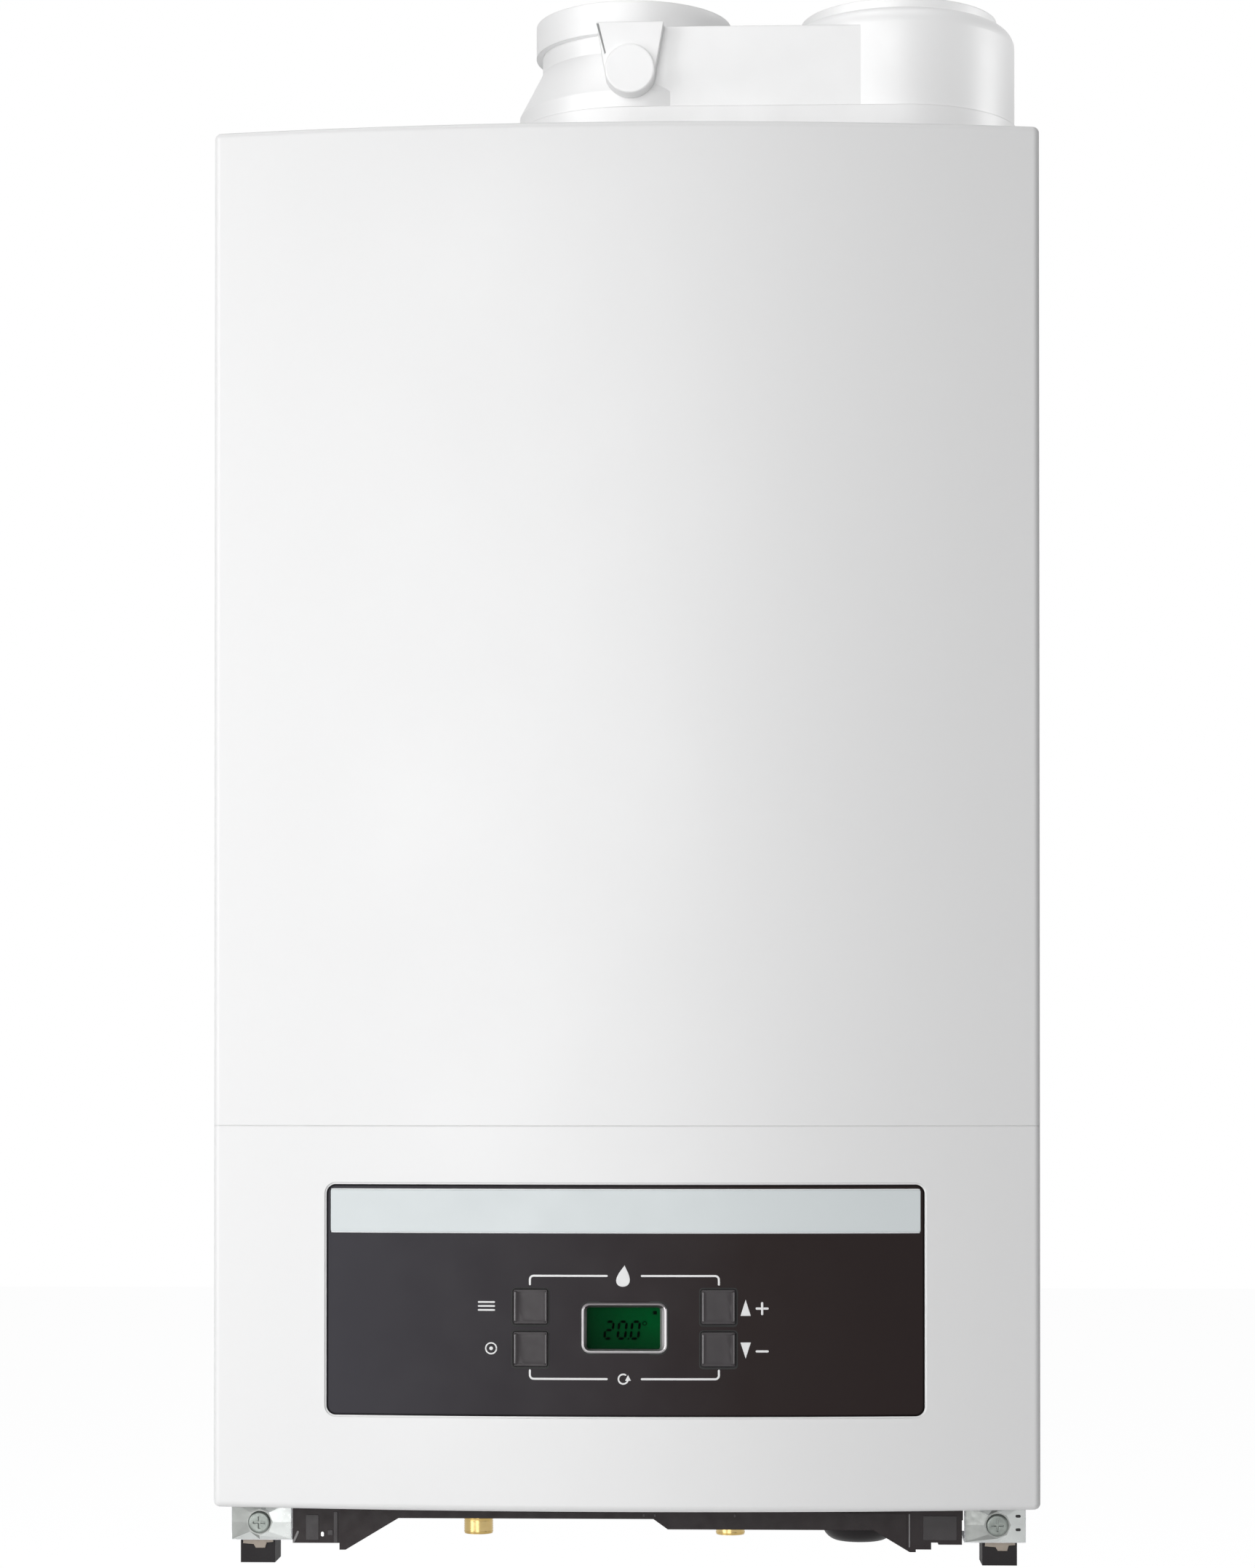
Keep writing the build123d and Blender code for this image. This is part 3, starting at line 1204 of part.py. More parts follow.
def fan_motor():
    y = (FAN_FRONT - MOTOR_L, FAN_FRONT)
    body = along_y(FAN_X, FAN_Z, y, MOTOR_R)
    body = fillet(body.edges().group_by(Axis.Y)[0], 4)
    plug_x = (FAN_X - PLUG_BLOCK_W / 2, FAN_X + PLUG_BLOCK_W / 2)
    plug_z = (FAN_Z + MOTOR_R - PLUG_BLOCK_H / 2, FAN_Z + MOTOR_R + PLUG_BLOCK_H / 2)
    body += block(plug_x, (FAN_FRONT - PLUG_BLOCK_D, FAN_FRONT), plug_z)
    return body - along_y(FAN_X, FAN_Z, (FAN_FRONT - MOTOR_L + 8, FAN_FRONT + 1), FAN_SHAFT_R + RUNNING)


def fan_impeller():
    """Backward-curved blower wheel on its shaft."""
    rear = FAN_REAR - FAN_WALL - 3
    front = FAN_FRONT + FAN_WALL + 3
    wheel = along_y(FAN_X, FAN_Z, (front, front + 2), IMPELLER_R)
    wheel += along_y(FAN_X, FAN_Z, (front, rear - 8), 9)
    wheel += tube((FAN_X, rear - 2, FAN_Z), (FAN_X, rear, FAN_Z), IMPELLER_R, FAN_INLET_R + 3)
    blades = 9
    for place in range(blades):
        blade = Pos(IMPELLER_R - 12, 0, 0) * Rot(0, 35, 0) * Box(2, rear - front - 2, 20)
        turned = Rot(0, place * 360 / blades, 0) * blade
        wheel += Pos(FAN_X, (front + rear) / 2, FAN_Z) * turned
    wheel &= along_y(FAN_X, FAN_Z, (front, rear), IMPELLER_R)
    return wheel + along_y(FAN_X, FAN_Z, (FAN_FRONT - MOTOR_L + 10, front + 1), FAN_SHAFT_R)


def venturi_mixer():
    y = (FAN_REAR, FAN_REAR + VENTURI_L)
    body = along_y(FAN_X, FAN_Z, y, VENTURI_R - 4)
    body += along_y(FAN_X, FAN_Z, (y[0], y[0] + 5), VENTURI_R)
    body += along_y(FAN_X, FAN_Z, (y[1] - 6, y[1]), VENTURI_R)
    body += upright(FAN_X, feed_y(), (FAN_Z - VENTURI_R - 9, FAN_Z), 11)
    throat = along_y(FAN_X, FAN_Z, (y[0] - 1, y[1] + 1), 15)
    mouth = Plane(origin=(FAN_X, y[1], FAN_Z), z_dir=(0, -1, 0)) * Cone(
        FAN_INLET_R, 15, VENTURI_L / 2, align=(Align.CENTER, Align.CENTER, Align.MIN)
    )
    tail = Plane(origin=(FAN_X, y[0], FAN_Z), z_dir=(0, 1, 0)) * Cone(
        FAN_INLET_R, 15, VENTURI_L / 2, align=(Align.CENTER, Align.CENTER, Align.MIN)
    )
    return body - throat - mouth - tail


def feed_y():
    return FAN_REAR + VENTURI_L / 2


def gas_valve():
    x = (VALVE_X - VALVE_W / 2, VALVE_X + VALVE_W / 2)
    body = plan_prism(x, (VALVE_FRONT, VALVE_FRONT + VALVE_D), (VALVE_Z0, VALVE_TOP), 6)
    for place in (-1, 1):
        middle = VALVE_X + place * 16
        coil = along_y(middle, (VALVE_Z0 + VALVE_TOP) / 2, (VALVE_FRONT - 18, VALVE_FRONT), 13)
        body += coil
    return body


def gas_feed_pipe():
    ends = ((FAN_X, feed_y(), VALVE_TOP), (FAN_X, feed_y(), FAN_Z - VENTURI_R - 9))
    return tube(*ends, GAS_R, GAS_R - PIPE_WALL)


def gas_pipe():
    """Gas line from its connection below up to the gas valve."""
    x = STUB_X[2]
    points = [
        (x, STUB_Y, PLATE_TOP),
        (x, STUB_Y, GAS_CROSS_Z),
        (x, GAS_Y, GAS_CROSS_Z),
        (GAS_X, GAS_Y, GAS_CROSS_Z),
        (GAS_X, GAS_Y, VALVE_Z0),
    ]
    line = bent_tube(points, PIPE_BEND, GAS_R, GAS_R - PIPE_WALL)
    foot = upright(x, STUB_Y, (PLATE_TOP, PLATE_TOP + TOWER_FOOT_H), TOWER_FOOT_R)
    foot += upright(x, STUB_Y, (PLATE_TOP - NECK_L, PLATE_TOP), NECK_R)
    foot += upright(x, STUB_Y, (-HEATING_TAIL, PLATE_TOP), TAIL_R)
    return line + foot - upright(x, STUB_Y, (-HEATING_TAIL - 1, PLATE_TOP + TOWER_FOOT_H + 1), TAIL_BORE)


def vessel_shape(inset):
    """Flat rounded body of the vessel, or its hollow where `inset` is the wall."""
    z0 = FLOOR_Z + VESSEL_UP
    middle = ((VESSEL_FRONT + VESSEL_REAR) / 2, z0 + VESSEL_H / 2)
    x0 = VESSEL_X - VESSEL_T / 2 + inset
    place = Plane(origin=(x0, *middle), x_dir=(0, 1, 0), z_dir=(1, 0, 0))
    size = (VESSEL_REAR - VESSEL_FRONT - 2 * inset, VESSEL_H - 2 * inset)
    body = extrude(place * RectangleRounded(*size, VESSEL_R + 14 - inset), VESSEL_T - 2 * inset)
    ends = body.edges().group_by(Axis.X)
    return fillet(ends[0] + ends[-1], min(VESSEL_R, VESSEL_T / 2 - 2) - inset)


def expansion_vessel():
    """Flat steel vessel with its crimped seam, lugs and water port."""
    z0 = FLOOR_Z + VESSEL_UP
    body = vessel_shape(0)
    middle = ((VESSEL_FRONT + VESSEL_REAR) / 2, z0 + VESSEL_H / 2)
    place = Plane(origin=(VESSEL_X - CRIMP_T / 2, *middle), x_dir=(0, 1, 0), z_dir=(1, 0, 0))
    size = (VESSEL_REAR - VESSEL_FRONT + 2 * CRIMP, VESSEL_H + 2 * CRIMP)
    body += extrude(place * RectangleRounded(*size, VESSEL_R + 14 + CRIMP), CRIMP_T)
    for level in (z0 + VESSEL_LUG_IN, z0 + VESSEL_H - VESSEL_LUG_IN):
        z = (level - VESSEL_LUG / 2, level + VESSEL_LUG / 2)
        body += block((VESSEL_X - 15, VESSEL_X + 15), (VESSEL_REAR - 5, BACK_FACE), z)
    body += upright(VESSEL_X, VESSEL_PORT_Y, (z0 - 20, z0 + VESSEL_R), 9)
    body -= vessel_shape(VESSEL_WALL)
    return body - upright(VESSEL_X, VESSEL_PORT_Y, (z0 - 21, z0 + VESSEL_R), HOSE_R - 2)


def vessel_hose():
    """Hose from the expansion vessel to the return side."""
    top = FLOOR_Z + VESSEL_UP - 20
    level = FLOOR_Z - 38
    points = [
        (VESSEL_X, VESSEL_PORT_Y, top),
        (VESSEL_X, VESSEL_PORT_Y, level),
        (VESSEL_HOSE_X, VESSEL_HOSE_Y, level),
        (VESSEL_HOSE_X, VESSEL_HOSE_Y, RETURN_MAIN_Z),
        (VESSEL_HOSE_X, STUB_Y + PIPE_STEP, RETURN_MAIN_Z),
    ]
    return bent_tube(points, PIPE_BEND, HOSE_R, HOSE_R - 2)


def flow_pipe():
    """Hot water from the heat exchanger down to the flow manifold."""
    x = flow_port_x()
    y = STUB_Y + PIPE_STEP
    low = FLOOR_Z - 36
    points = [
        (x, HX_REAR + PORT_NECK, flow_port_z()),
        (x, y + 0.01, flow_port_z()),
        (x, y, low),
        (FLOW_IN_X, STUB_Y, low),
        (FLOW_IN_X, STUB_Y, FLOW_IN_TOP),
    ]
    return bent_tube(points, FLOW_BEND, PIPE_R, PIPE_R - PIPE_WALL)


def return_pipe():
    """Water from the pump up to the heat exchanger."""
    z = return_port_z()
    points = [
        (PUMP_X, STUB_Y, PUMP_Z + PUMP_R + 10),
        (PUMP_X, STUB_Y, z),
        (PUMP_X, RETURN_PORT_Y, z),
        (HX_X1 + PORT_NECK, RETURN_PORT_Y, z),
    ]
    return bent_tube(points, PIPE_BEND, PIPE_R, PIPE_R - PIPE_WALL)


def air_vent():
    """Automatic air vent on the heat exchanger's water jacket."""
    x = HX_X0 - VENT_BOSS / 2
    y = HX_FRONT + VENT_IN
    body = upright(x, y, (vent_z(), vent_z() + 8), 6)
    body += upright(x, y, (vent_z() + 8, vent_z() + 38), 9)
    return body + upright(x, y, (vent_z() + 38, vent_z() + 46), 4)


# ---------------------------------------------------------------- hydraulics
def connection_plate():
    """Plate that all five connections are bolted to."""
    plate = block((-INNER_X, INNER_X), (PLATE_FRONT, BACK_FACE), (PLATE_Z0, PLATE_TOP))
    for x in STUB_X:
        plate -= upright(x, STUB_Y, (PLATE_Z0 - 1, PLATE_TOP + 1), NECK_R + NEST)
    return plate


def connection_locknuts():
    nuts = []
    for x in STUB_X:
        nut = hexagon(x, STUB_Y, (PLATE_Z0 - NUT_H, PLATE_Z0), NUT_R)
        nuts.append(nut - upright(x, STUB_Y, (PLATE_Z0 - NUT_H - 1, PLATE_Z0 + 1), NECK_R + NEST))
    return Compound(nuts)


def tower(x, top, tail_r, tail_end):
    """Upright of a manifold with its foot on the plate and its connection below."""
    body = upright(x, STUB_Y, (PLATE_TOP, top), TOWER_R)
    body += upright(x, STUB_Y, (PLATE_TOP, PLATE_TOP + TOWER_FOOT_H), TOWER_FOOT_R)
    body += upright(x, STUB_Y, (PLATE_TOP - NECK_L, PLATE_TOP), NECK_R)
    body += upright(x, STUB_Y, (-tail_end, PLATE_TOP), tail_r)
    return body - upright(x, STUB_Y, (-tail_end - 1, PLATE_TOP + TOWER_FOOT_H), TAIL_BORE)


def exchanger_ports(x):
    """Two short pipes from a tower forward to the plate heat exchanger."""
    ports = along_y(x, PORT_LOW_Z, (PHE_REAR, STUB_Y), PORT_R)
    return ports + along_y(x, PORT_HIGH_Z, (PHE_REAR, STUB_Y), PORT_R)


def flow_manifold():
    """Brass manifold of the flow side, with the diverter's chamber."""
    body = tower(STUB_X[0], DIVERTER_TOP, HEATING_TAIL_R, HEATING_TAIL)
    body += tower(STUB_X[1], PORT_HIGH_Z + PORT_R + 2, TAIL_R, WATER_TAIL)
    body += along_x(STUB_Y, FLOW_MAIN_Z, (FLOW_MAIN_X0, STUB_X[1]), FLOW_MAIN_R)
    body += upright(FLOW_IN_X, STUB_Y, (FLOW_MAIN_Z, FLOW_IN_TOP), PIPE_R + 3)
    body += exchanger_ports(STUB_X[1])
    body -= upright(STUB_X[0], STUB_Y, (FLOW_MAIN_Z - 26, DIVERTER_TOP - 8), DIVERTER_R)
    body -= upright(STUB_X[0], STUB_Y, (DIVERTER_TOP - 9, DIVERTER_TOP + 1), VALVE_STEM_R + RUNNING)
    return body - along_x(STUB_Y, FLOW_MAIN_Z, (STUB_X[0], FLOW_IN_X + 8), DIVERTER_R - 2)


def diverter_stem():
    x = STUB_X[0]
    stem = upright(x, STUB_Y, (FLOW_MAIN_Z - 4, DIVERTER_TOP + 24), VALVE_STEM_R)
    return stem + upright(x, STUB_Y, (FLOW_MAIN_Z - 4, FLOW_MAIN_Z + 4), DIVERTER_R - 1)


def diverter_actuator():
    x = STUB_X[0]
    y = (STUB_Y - ACTUATOR_D / 2, STUB_Y + ACTUATOR_D / 2)
    z = (DIVERTER_TOP, DIVERTER_TOP + ACTUATOR_H)
    body = plan_prism((x - ACTUATOR_W / 2 - 1, x + ACTUATOR_W / 2 - 1), y, z, 5)
    return body - upright(x, STUB_Y, (z[0] - 1, z[0] + 26), VALVE_STEM_R + RUNNING)


def return_manifold():
    """Brass manifold of the return side, with the cold water turbine's chamber."""
    body = tower(STUB_X[3], PORT_HIGH_Z + PORT_R + 2, TAIL_R, WATER_TAIL)
    body += tower(STUB_X[4], RETURN_MAIN_Z + 16, HEATING_TAIL_R, HEATING_TAIL)
    body += along_x(STUB_Y, RETURN_MAIN_Z, (STUB_X[3], STUB_X[4]), RETURN_MAIN_R)
    body += along_y(VESSEL_HOSE_X, RETURN_MAIN_Z, (STUB_Y, STUB_Y + PIPE_STEP), HOSE_R + 2)
    body += exchanger_ports(STUB_X[3])
    body -= upright(STUB_X[3], STUB_Y, TURBINE_Z, TURBINE_R + 1)
    return body - upright(STUB_X[3], STUB_Y, (TURBINE_Z[0] - 5, TURBINE_Z[1] + 5), TURBINE_SHAFT_R + RUNNING)


def flow_turbine():
    """Small wheel that spins while hot water is drawn."""
    x = STUB_X[3]
    z = (TURBINE_Z[0] + 1, TURBINE_Z[1] - 1)
    wheel = upright(x, STUB_Y, z, 3)
    middle = Pos(x, STUB_Y, (z[0] + z[1]) / 2)
    for place in range(4):
        wheel += middle * Rot(0, 0, 45 * place) * Box(2 * TURBINE_R - 1, 1.4, z[1] - z[0])
    return wheel + upright(x, STUB_Y, (TURBINE_Z[0] - 4.5, TURBINE_Z[1] + 4.5), TURBINE_SHAFT_R)


def plate_heat_exchanger():
    """Brazed stack of plates for the hot water."""
    x = (STUB_X[1] - PHE_MARGIN, STUB_X[3] + PHE_MARGIN)
    middle = ((x[0] + x[1]) / 2, PHE_Z0 + PHE_H / 2)
    stack = front_prism(middle, (x[1] - x[0], PHE_H), PHE_R, (PHE_FRONT, PHE_REAR))
    groove = front_prism(middle, (x[1] - x[0] + 2, PHE_H + 2), PHE_R, (0, 1.6))
    groove -= front_prism(middle, (x[1] - x[0] - 3, PHE_H - 3), PHE_R - 1.5, (-1, 3))
    count = int((PHE_D - 8) / 4)
    for place in range(count):
        stack -= Pos(0, PHE_FRONT + 5 + place * 4, 0) * groove
    hollow = (x[1] - x[0] - 14, PHE_H - 14)
    stack -= front_prism(middle, hollow, PHE_R - 5, (PHE_FRONT + 6, PHE_REAR - 6))
    for a in (STUB_X[1], STUB_X[3]):
        for z in (PORT_LOW_Z, PORT_HIGH_Z):
            stack -= along_y(a, z, (PHE_REAR - 7, PHE_REAR + 1), PORT_R - 3)
    return stack


def safety_valve():
    x0 = FLOW_MAIN_X0
    body = along_x(STUB_Y, FLOW_MAIN_Z, (x0 - SAFETY_L, x0), SAFETY_R)
    body += along_x(STUB_Y, FLOW_MAIN_Z, (x0 - SAFETY_L - SAFETY_STEM_L, x0 - SAFETY_L), 4)
    outlet = upright(x0 - SAFETY_L / 2, STUB_Y, (FLOW_MAIN_Z - 30, FLOW_MAIN_Z), 7)
    return body + outlet - upright(x0 - SAFETY_L / 2, STUB_Y, (FLOW_MAIN_Z - 31, FLOW_MAIN_Z), 5)


def safety_valve_knob():
    x1 = FLOW_MAIN_X0 - SAFETY_L - FIT
    x = (x1 - KNOB_L, x1)
    body = along_x(STUB_Y, FLOW_MAIN_Z, x, KNOB_R)
    flutes = 8
    for place in range(flutes):
        angle = 2 * math.pi * place / flutes
        y = STUB_Y + (KNOB_R + 1.5) * math.cos(angle)
        z = FLOW_MAIN_Z + (KNOB_R + 1.5) * math.sin(angle)
        body -= rod((x[0] - 1, y, z), (x[1] + 1, y, z), 3.2)
    return body - along_x(STUB_Y, FLOW_MAIN_Z, (x1 - SAFETY_STEM_L - 0.5, x1 + 1), 4 + RUNNING)


def pump_housing():
    y = PUMP_Y
    body = along_y(PUMP_X, PUMP_Z, y, PUMP_R)
    body += upright(STUB_X[4], STUB_Y, (RETURN_MAIN_Z + 16, PUMP_Z), PUMP_LEG_R)
    body += upright(PUMP_X, STUB_Y, (PUMP_Z, PUMP_Z + PUMP_R + 10), PIPE_R + 4)
    body -= along_y(PUMP_X, PUMP_Z, (y[0] + PUMP_WALL, y[1] - PUMP_WALL), PUMP_IMPELLER_R + 3)
    body += block((PUMP_X - 14, PUMP_X + 14), (y[1] - 1, BACK_FACE), (PUMP_Z - 20, PUMP_Z - 17))
    body += block((PUMP_X - 14, PUMP_X + 14), (y[1] - 1, BACK_FACE), (PUMP_Z + 17, PUMP_Z + 20))
    return body - along_y(PUMP_X, PUMP_Z, (y[0] - 1, y[0] + PUMP_WALL + 1), PUMP_SHAFT_R + 2)


def pump_motor():
    front = PUMP_MOTOR_FRONT
    body = along_y(PUMP_X, PUMP_Z, (front + PUMP_HEAD_L - 1, PUMP_Y[0]), PUMP_R - 2)
    body += front_prism((PUMP_X, PUMP_Z), (2 * PUMP_R - 6, 2 * PUMP_R - 6), 10, (front, front + PUMP_HEAD_L))
    return body - along_y(PUMP_X, PUMP_Z, (front + PUMP_HEAD_L - 5, PUMP_Y[0] + 1), PUMP_SHAFT_R + RUNNING)


def pump_impeller():
    y = PUMP_Y
    front = y[0] + PUMP_WALL + 3
    rear = y[1] - PUMP_WALL - 3
    wheel = along_y(PUMP_X, PUMP_Z, (front, front + 3), PUMP_IMPELLER_R)
    wheel += tube((PUMP_X, rear - 3, PUMP_Z), (PUMP_X, rear, PUMP_Z), PUMP_IMPELLER_R, 12)
    vanes = 6
    for place in range(vanes):
        vane = Pos(PUMP_IMPELLER_R - 10, 0, 0) * Rot(0, 40, 0) * Box(2, rear - front - 2, 17)
        wheel += Pos(PUMP_X, (front + rear) / 2, PUMP_Z) * Rot(0, place * 360 / vanes, 0) * vane
    wheel &= along_y(PUMP_X, PUMP_Z, (front, rear), PUMP_IMPELLER_R)
    return wheel + along_y(PUMP_X, PUMP_Z, (PUMP_MOTOR_FRONT + PUMP_HEAD_L - 3, front + 1), PUMP_SHAFT_R)


def siphon_body():
    """Condensate trap with its flange on the tray and its drain at the rear."""
    body = upright(SIPHON_X, SIPHON_Y, (TRAY_TOP, SIPHON_TOP), SIPHON_R)
    body += upright(SIPHON_X, SIPHON_Y, (TRAY_TOP, TRAY_TOP + 3), SIPHON_HOLE + 5)
    body += upright(SIPHON_X, SIPHON_Y, (CUP_TOP, TRAY_TOP), SIPHON_HOLE - NEST)
    body += upright(SIPHON_X, SIPHON_Y, (SIPHON_TOP, SIPHON_TOP + 12), SPIGOT_SMALL_R)
    body += rod((SIPHON_X, SIPHON_Y, DRAIN_Z), (DRAIN_X, DRAIN_Y, DRAIN_Z), DRAIN_R - 1.5)
    body += upright(DRAIN_X, DRAIN_Y, (DRAIN_END + SPOUT_L, DRAIN_Z + DRAIN_R + 2), DRAIN_R)
    body += upright(DRAIN_X, DRAIN_Y, (DRAIN_END, DRAIN_Z), SPOUT_R)
    body -= upright(SIPHON_X, SIPHON_Y, (CUP_TOP - 1, SIPHON_TOP - 3), SIPHON_R - 2.5)
    body -= upright(DRAIN_X, DRAIN_Y, (DRAIN_END - 1, DRAIN_Z), SPOUT_R - 1.5)
    return body - upright(SIPHON_X, SIPHON_Y, (SIPHON_TOP - 4, SIPHON_TOP + 13), SPIGOT_SMALL_R - 2)


def siphon_cup():
    """Screw-off bowl of the trap."""
    bowl = upright(SIPHON_X, SIPHON_Y, (CUP_BOTTOM, CUP_TOP), SIPHON_R)
    bowl = fillet(bowl.edges().group_by(Axis.Z)[0], 9)
    hollow = upright(SIPHON_X, SIPHON_Y, (CUP_BOTTOM + 2.5, CUP_TOP + 1), SIPHON_R - 4)
    return bowl - fillet(hollow.edges().group_by(Axis.Z)[0], 6)


def condensate_hose():
    """Hose from the sump's drain to the top of the trap."""
    level = SIPHON_TOP + 36
    points = [
        (CONDENSATE_X, SIPHON_Y, SUMP_Z0),
        (CONDENSATE_X, SIPHON_Y, level),
        (SIPHON_X, SIPHON_Y + 0.01, level),
        (SIPHON_X, SIPHON_Y, SIPHON_TOP),
    ]
    return bent_tube(points, PIPE_BEND, CONDENSATE_R, CONDENSATE_R - 2)


def gas_pipes():
    return Compound([gas_pipe(), gas_feed_pipe()])


def heating_pipes():
    return Compound([flow_pipe(), return_pipe()])


def rubber_hoses():
    return Compound([vessel_hose(), condensate_hose()])


# ---------------------------------------------------------------- all pieces
KEYS = ["button_menu", "button_info", "button_plus", "button_minus"]


def pieces():
    """Every node's name and shape."""
    found = {
        "wall_bracket": wall_bracket(),
        "back_frame": back_frame(),
        "side_panel_left": side_panel(-1),
        "side_panel_right": side_panel(1),
        "top_panel": top_panel(),
        "chamber_floor": chamber_floor(),
        "chamber_seals": chamber_seals(),
        "front_cover_upper": front_cover_upper(),
        "front_cover_lower": front_cover_lower(),
        "corner_bracket_left": corner_bracket(-1),
        "corner_bracket_right": corner_bracket(1),
        "case_screws": case_screws(),
        "corner_feet": corner_feet(),
        "bottom_tray": bottom_tray(),
        "control_box_rear": control_box_rear(),
        "control_fascia": control_fascia(),
        "fascia_strip": fascia_strip(),
        "display_bezel": display_bezel(),
        "display_lens": display_lens(),
        "lcd_panel": lcd_panel(),
        "circuit_boards": circuit_boards(),
        "hinge_pins": hinge_pins(),
        "flue_adapter": flue_adapter(),
        "adapter_seals": adapter_seals(),
        "test_point_cap": test_point_cap(),
        "flue_duct": flue_duct(),
        "condensate_sump": condensate_sump(),
        "heat_exchanger": heat_exchanger(),
        "ignition_electrodes": ignition_electrodes(),
        "burner": burner(),
        "burner_hood": burner_hood(),
        "fan_housing": fan_housing(),
        "fan_motor": fan_motor(),
        "fan_impeller": fan_impeller(),
        "venturi_mixer": venturi_mixer(),
        "gas_valve": gas_valve(),
        "gas_pipes": gas_pipes(),
        "expansion_vessel": expansion_vessel(),
        "rubber_hoses": rubber_hoses(),
        "heating_pipes": heating_pipes(),
        "air_vent": air_vent(),
        "connection_plate": connection_plate(),
        "connection_locknuts": connection_locknuts(),
        "flow_manifold": flow_manifold(),
        "diverter_stem": diverter_stem(),
        "diverter_actuator": diverter_actuator(),
        "return_manifold": return_manifold(),
        "flow_turbine": flow_turbine(),
        "plate_heat_exchanger": plate_heat_exchanger(),
        "safety_valve": safety_valve(),
        "safety_valve_knob": safety_valve_knob(),
        "pump_housing": pump_housing(),
        "pump_motor": pump_motor(),
        "pump_impeller": pump_impeller(),
        "siphon_body": siphon_body(),
        "siphon_cup": siphon_cup(),
    }
    for name, (x, z) in zip(KEYS, button_places()):
        found[name] = button(x, z)
    return found


os.makedirs("parts", exist_ok=True)
for node, shape in pieces().items():
    export_step(shape, f"parts/{node}.step")
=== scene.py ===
"""Looks of a wall-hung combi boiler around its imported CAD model.

Metres; +X right, +Y to the wall, +Z up.
"""

import bpy
import bmesh
import json
import math
from mathutils import Matrix, Vector


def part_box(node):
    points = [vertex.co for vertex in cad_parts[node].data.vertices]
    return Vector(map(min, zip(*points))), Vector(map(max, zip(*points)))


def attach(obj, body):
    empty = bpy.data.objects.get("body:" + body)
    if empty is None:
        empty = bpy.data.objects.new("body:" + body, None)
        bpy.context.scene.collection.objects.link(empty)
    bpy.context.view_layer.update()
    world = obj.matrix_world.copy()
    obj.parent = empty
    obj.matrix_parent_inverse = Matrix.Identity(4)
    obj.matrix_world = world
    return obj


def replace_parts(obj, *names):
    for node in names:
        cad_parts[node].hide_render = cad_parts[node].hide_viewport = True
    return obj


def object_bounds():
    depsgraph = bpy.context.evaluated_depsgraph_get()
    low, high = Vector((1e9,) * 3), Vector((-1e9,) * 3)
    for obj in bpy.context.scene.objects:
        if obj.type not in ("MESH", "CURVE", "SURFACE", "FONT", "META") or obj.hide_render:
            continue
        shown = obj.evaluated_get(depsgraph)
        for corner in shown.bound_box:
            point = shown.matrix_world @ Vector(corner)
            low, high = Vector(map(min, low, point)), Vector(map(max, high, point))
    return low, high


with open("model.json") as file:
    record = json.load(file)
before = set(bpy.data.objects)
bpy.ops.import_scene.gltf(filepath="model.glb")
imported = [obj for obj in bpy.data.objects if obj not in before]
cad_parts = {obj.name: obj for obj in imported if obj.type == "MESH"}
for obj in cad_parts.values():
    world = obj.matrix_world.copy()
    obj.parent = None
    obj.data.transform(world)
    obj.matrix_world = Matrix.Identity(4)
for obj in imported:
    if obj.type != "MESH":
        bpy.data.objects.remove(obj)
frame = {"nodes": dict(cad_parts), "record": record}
nodes = frame["nodes"]
cad_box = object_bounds()
MM = 0.001

# ---------------------------------------------------------------- camera
PHOTO_HEIGHT = 2156  # pixels
SENSOR = 36  # mm, along the picture's longer side
APEX_Y = -300 * MM  # foremost line of the bowed front; the camera's distance counts from it
CAMERA = dict(
    focal=4867.13, distance=1.69579, yaw=0.0329, pitch=0.0087, height=0.20644, x=0.00157, shift=0.17
)


def make_camera():
    c = CAMERA
    data = bpy.data.cameras.new("camera")
    data.sensor_fit = "AUTO"
    data.sensor_width = SENSOR
    data.lens = c["focal"] / PHOTO_HEIGHT * SENSOR
    data.shift_y = c["shift"]
    data.clip_start, data.clip_end = 0.05, 60
    cam = bpy.data.objects.new("camera", data)
    bpy.context.scene.collection.objects.link(cam)
    cam.location = (
        c["x"] + c["distance"] * math.sin(c["yaw"]),
        APEX_Y - c["distance"] * math.cos(c["yaw"]),
        c["height"],
    )
    cam.rotation_euler = (math.pi / 2 + c["pitch"], 0, c["yaw"])
    bpy.context.scene.camera = cam


# ---------------------------------------------------------------- shader nodes
def node(tree, kind, inputs=None, **values):
    """New shader node with these attributes and input values."""
    made = tree.nodes.new("ShaderNode" + kind)
    for key, value in values.items():
        setattr(made, key, value)
    for key, value in (inputs or {}).items():
        made.inputs[key].default_value = value
    return made


def bare_tree(owner):
    """Emptied node tree of a world or a material."""
    owner.use_nodes = True
    owner.node_tree.nodes.clear()
    return owner.node_tree


def math_node(tree, operation, first, second):
    made = node(tree, "Math", operation=operation)
    tree.links.new(first, made.inputs[0])
    tree.links.new(second, made.inputs[1])
    return made.outputs[0]


def mix_shaders(tree, out, share, first, second):
    """Two shaders mixed onto the output; a share of 1 shows the second alone."""
    mix = node(tree, "MixShader")
    for place, socket in enumerate((share, first, second)):
        tree.links.new(socket, mix.inputs[place])
    tree.links.new(mix.outputs[0], out.inputs[0])


def seen_rays(tree):
    """1 for the rays that should see the plain white ground: camera, glossy and transmission rays."""
    path = node(tree, "LightPath").outputs
    direct = math_node(tree, "MAXIMUM", path["Is Camera Ray"], path["Is Glossy Ray"])
    return math_node(tree, "MAXIMUM", direct, path["Is Transmission Ray"])


# ---------------------------------------------------------------- stage and light
NEAR_POWER, SIDE_POWER, SOFTBOX_POWER, OVERHEAD_POWER = 4.3, 14, 23, 8
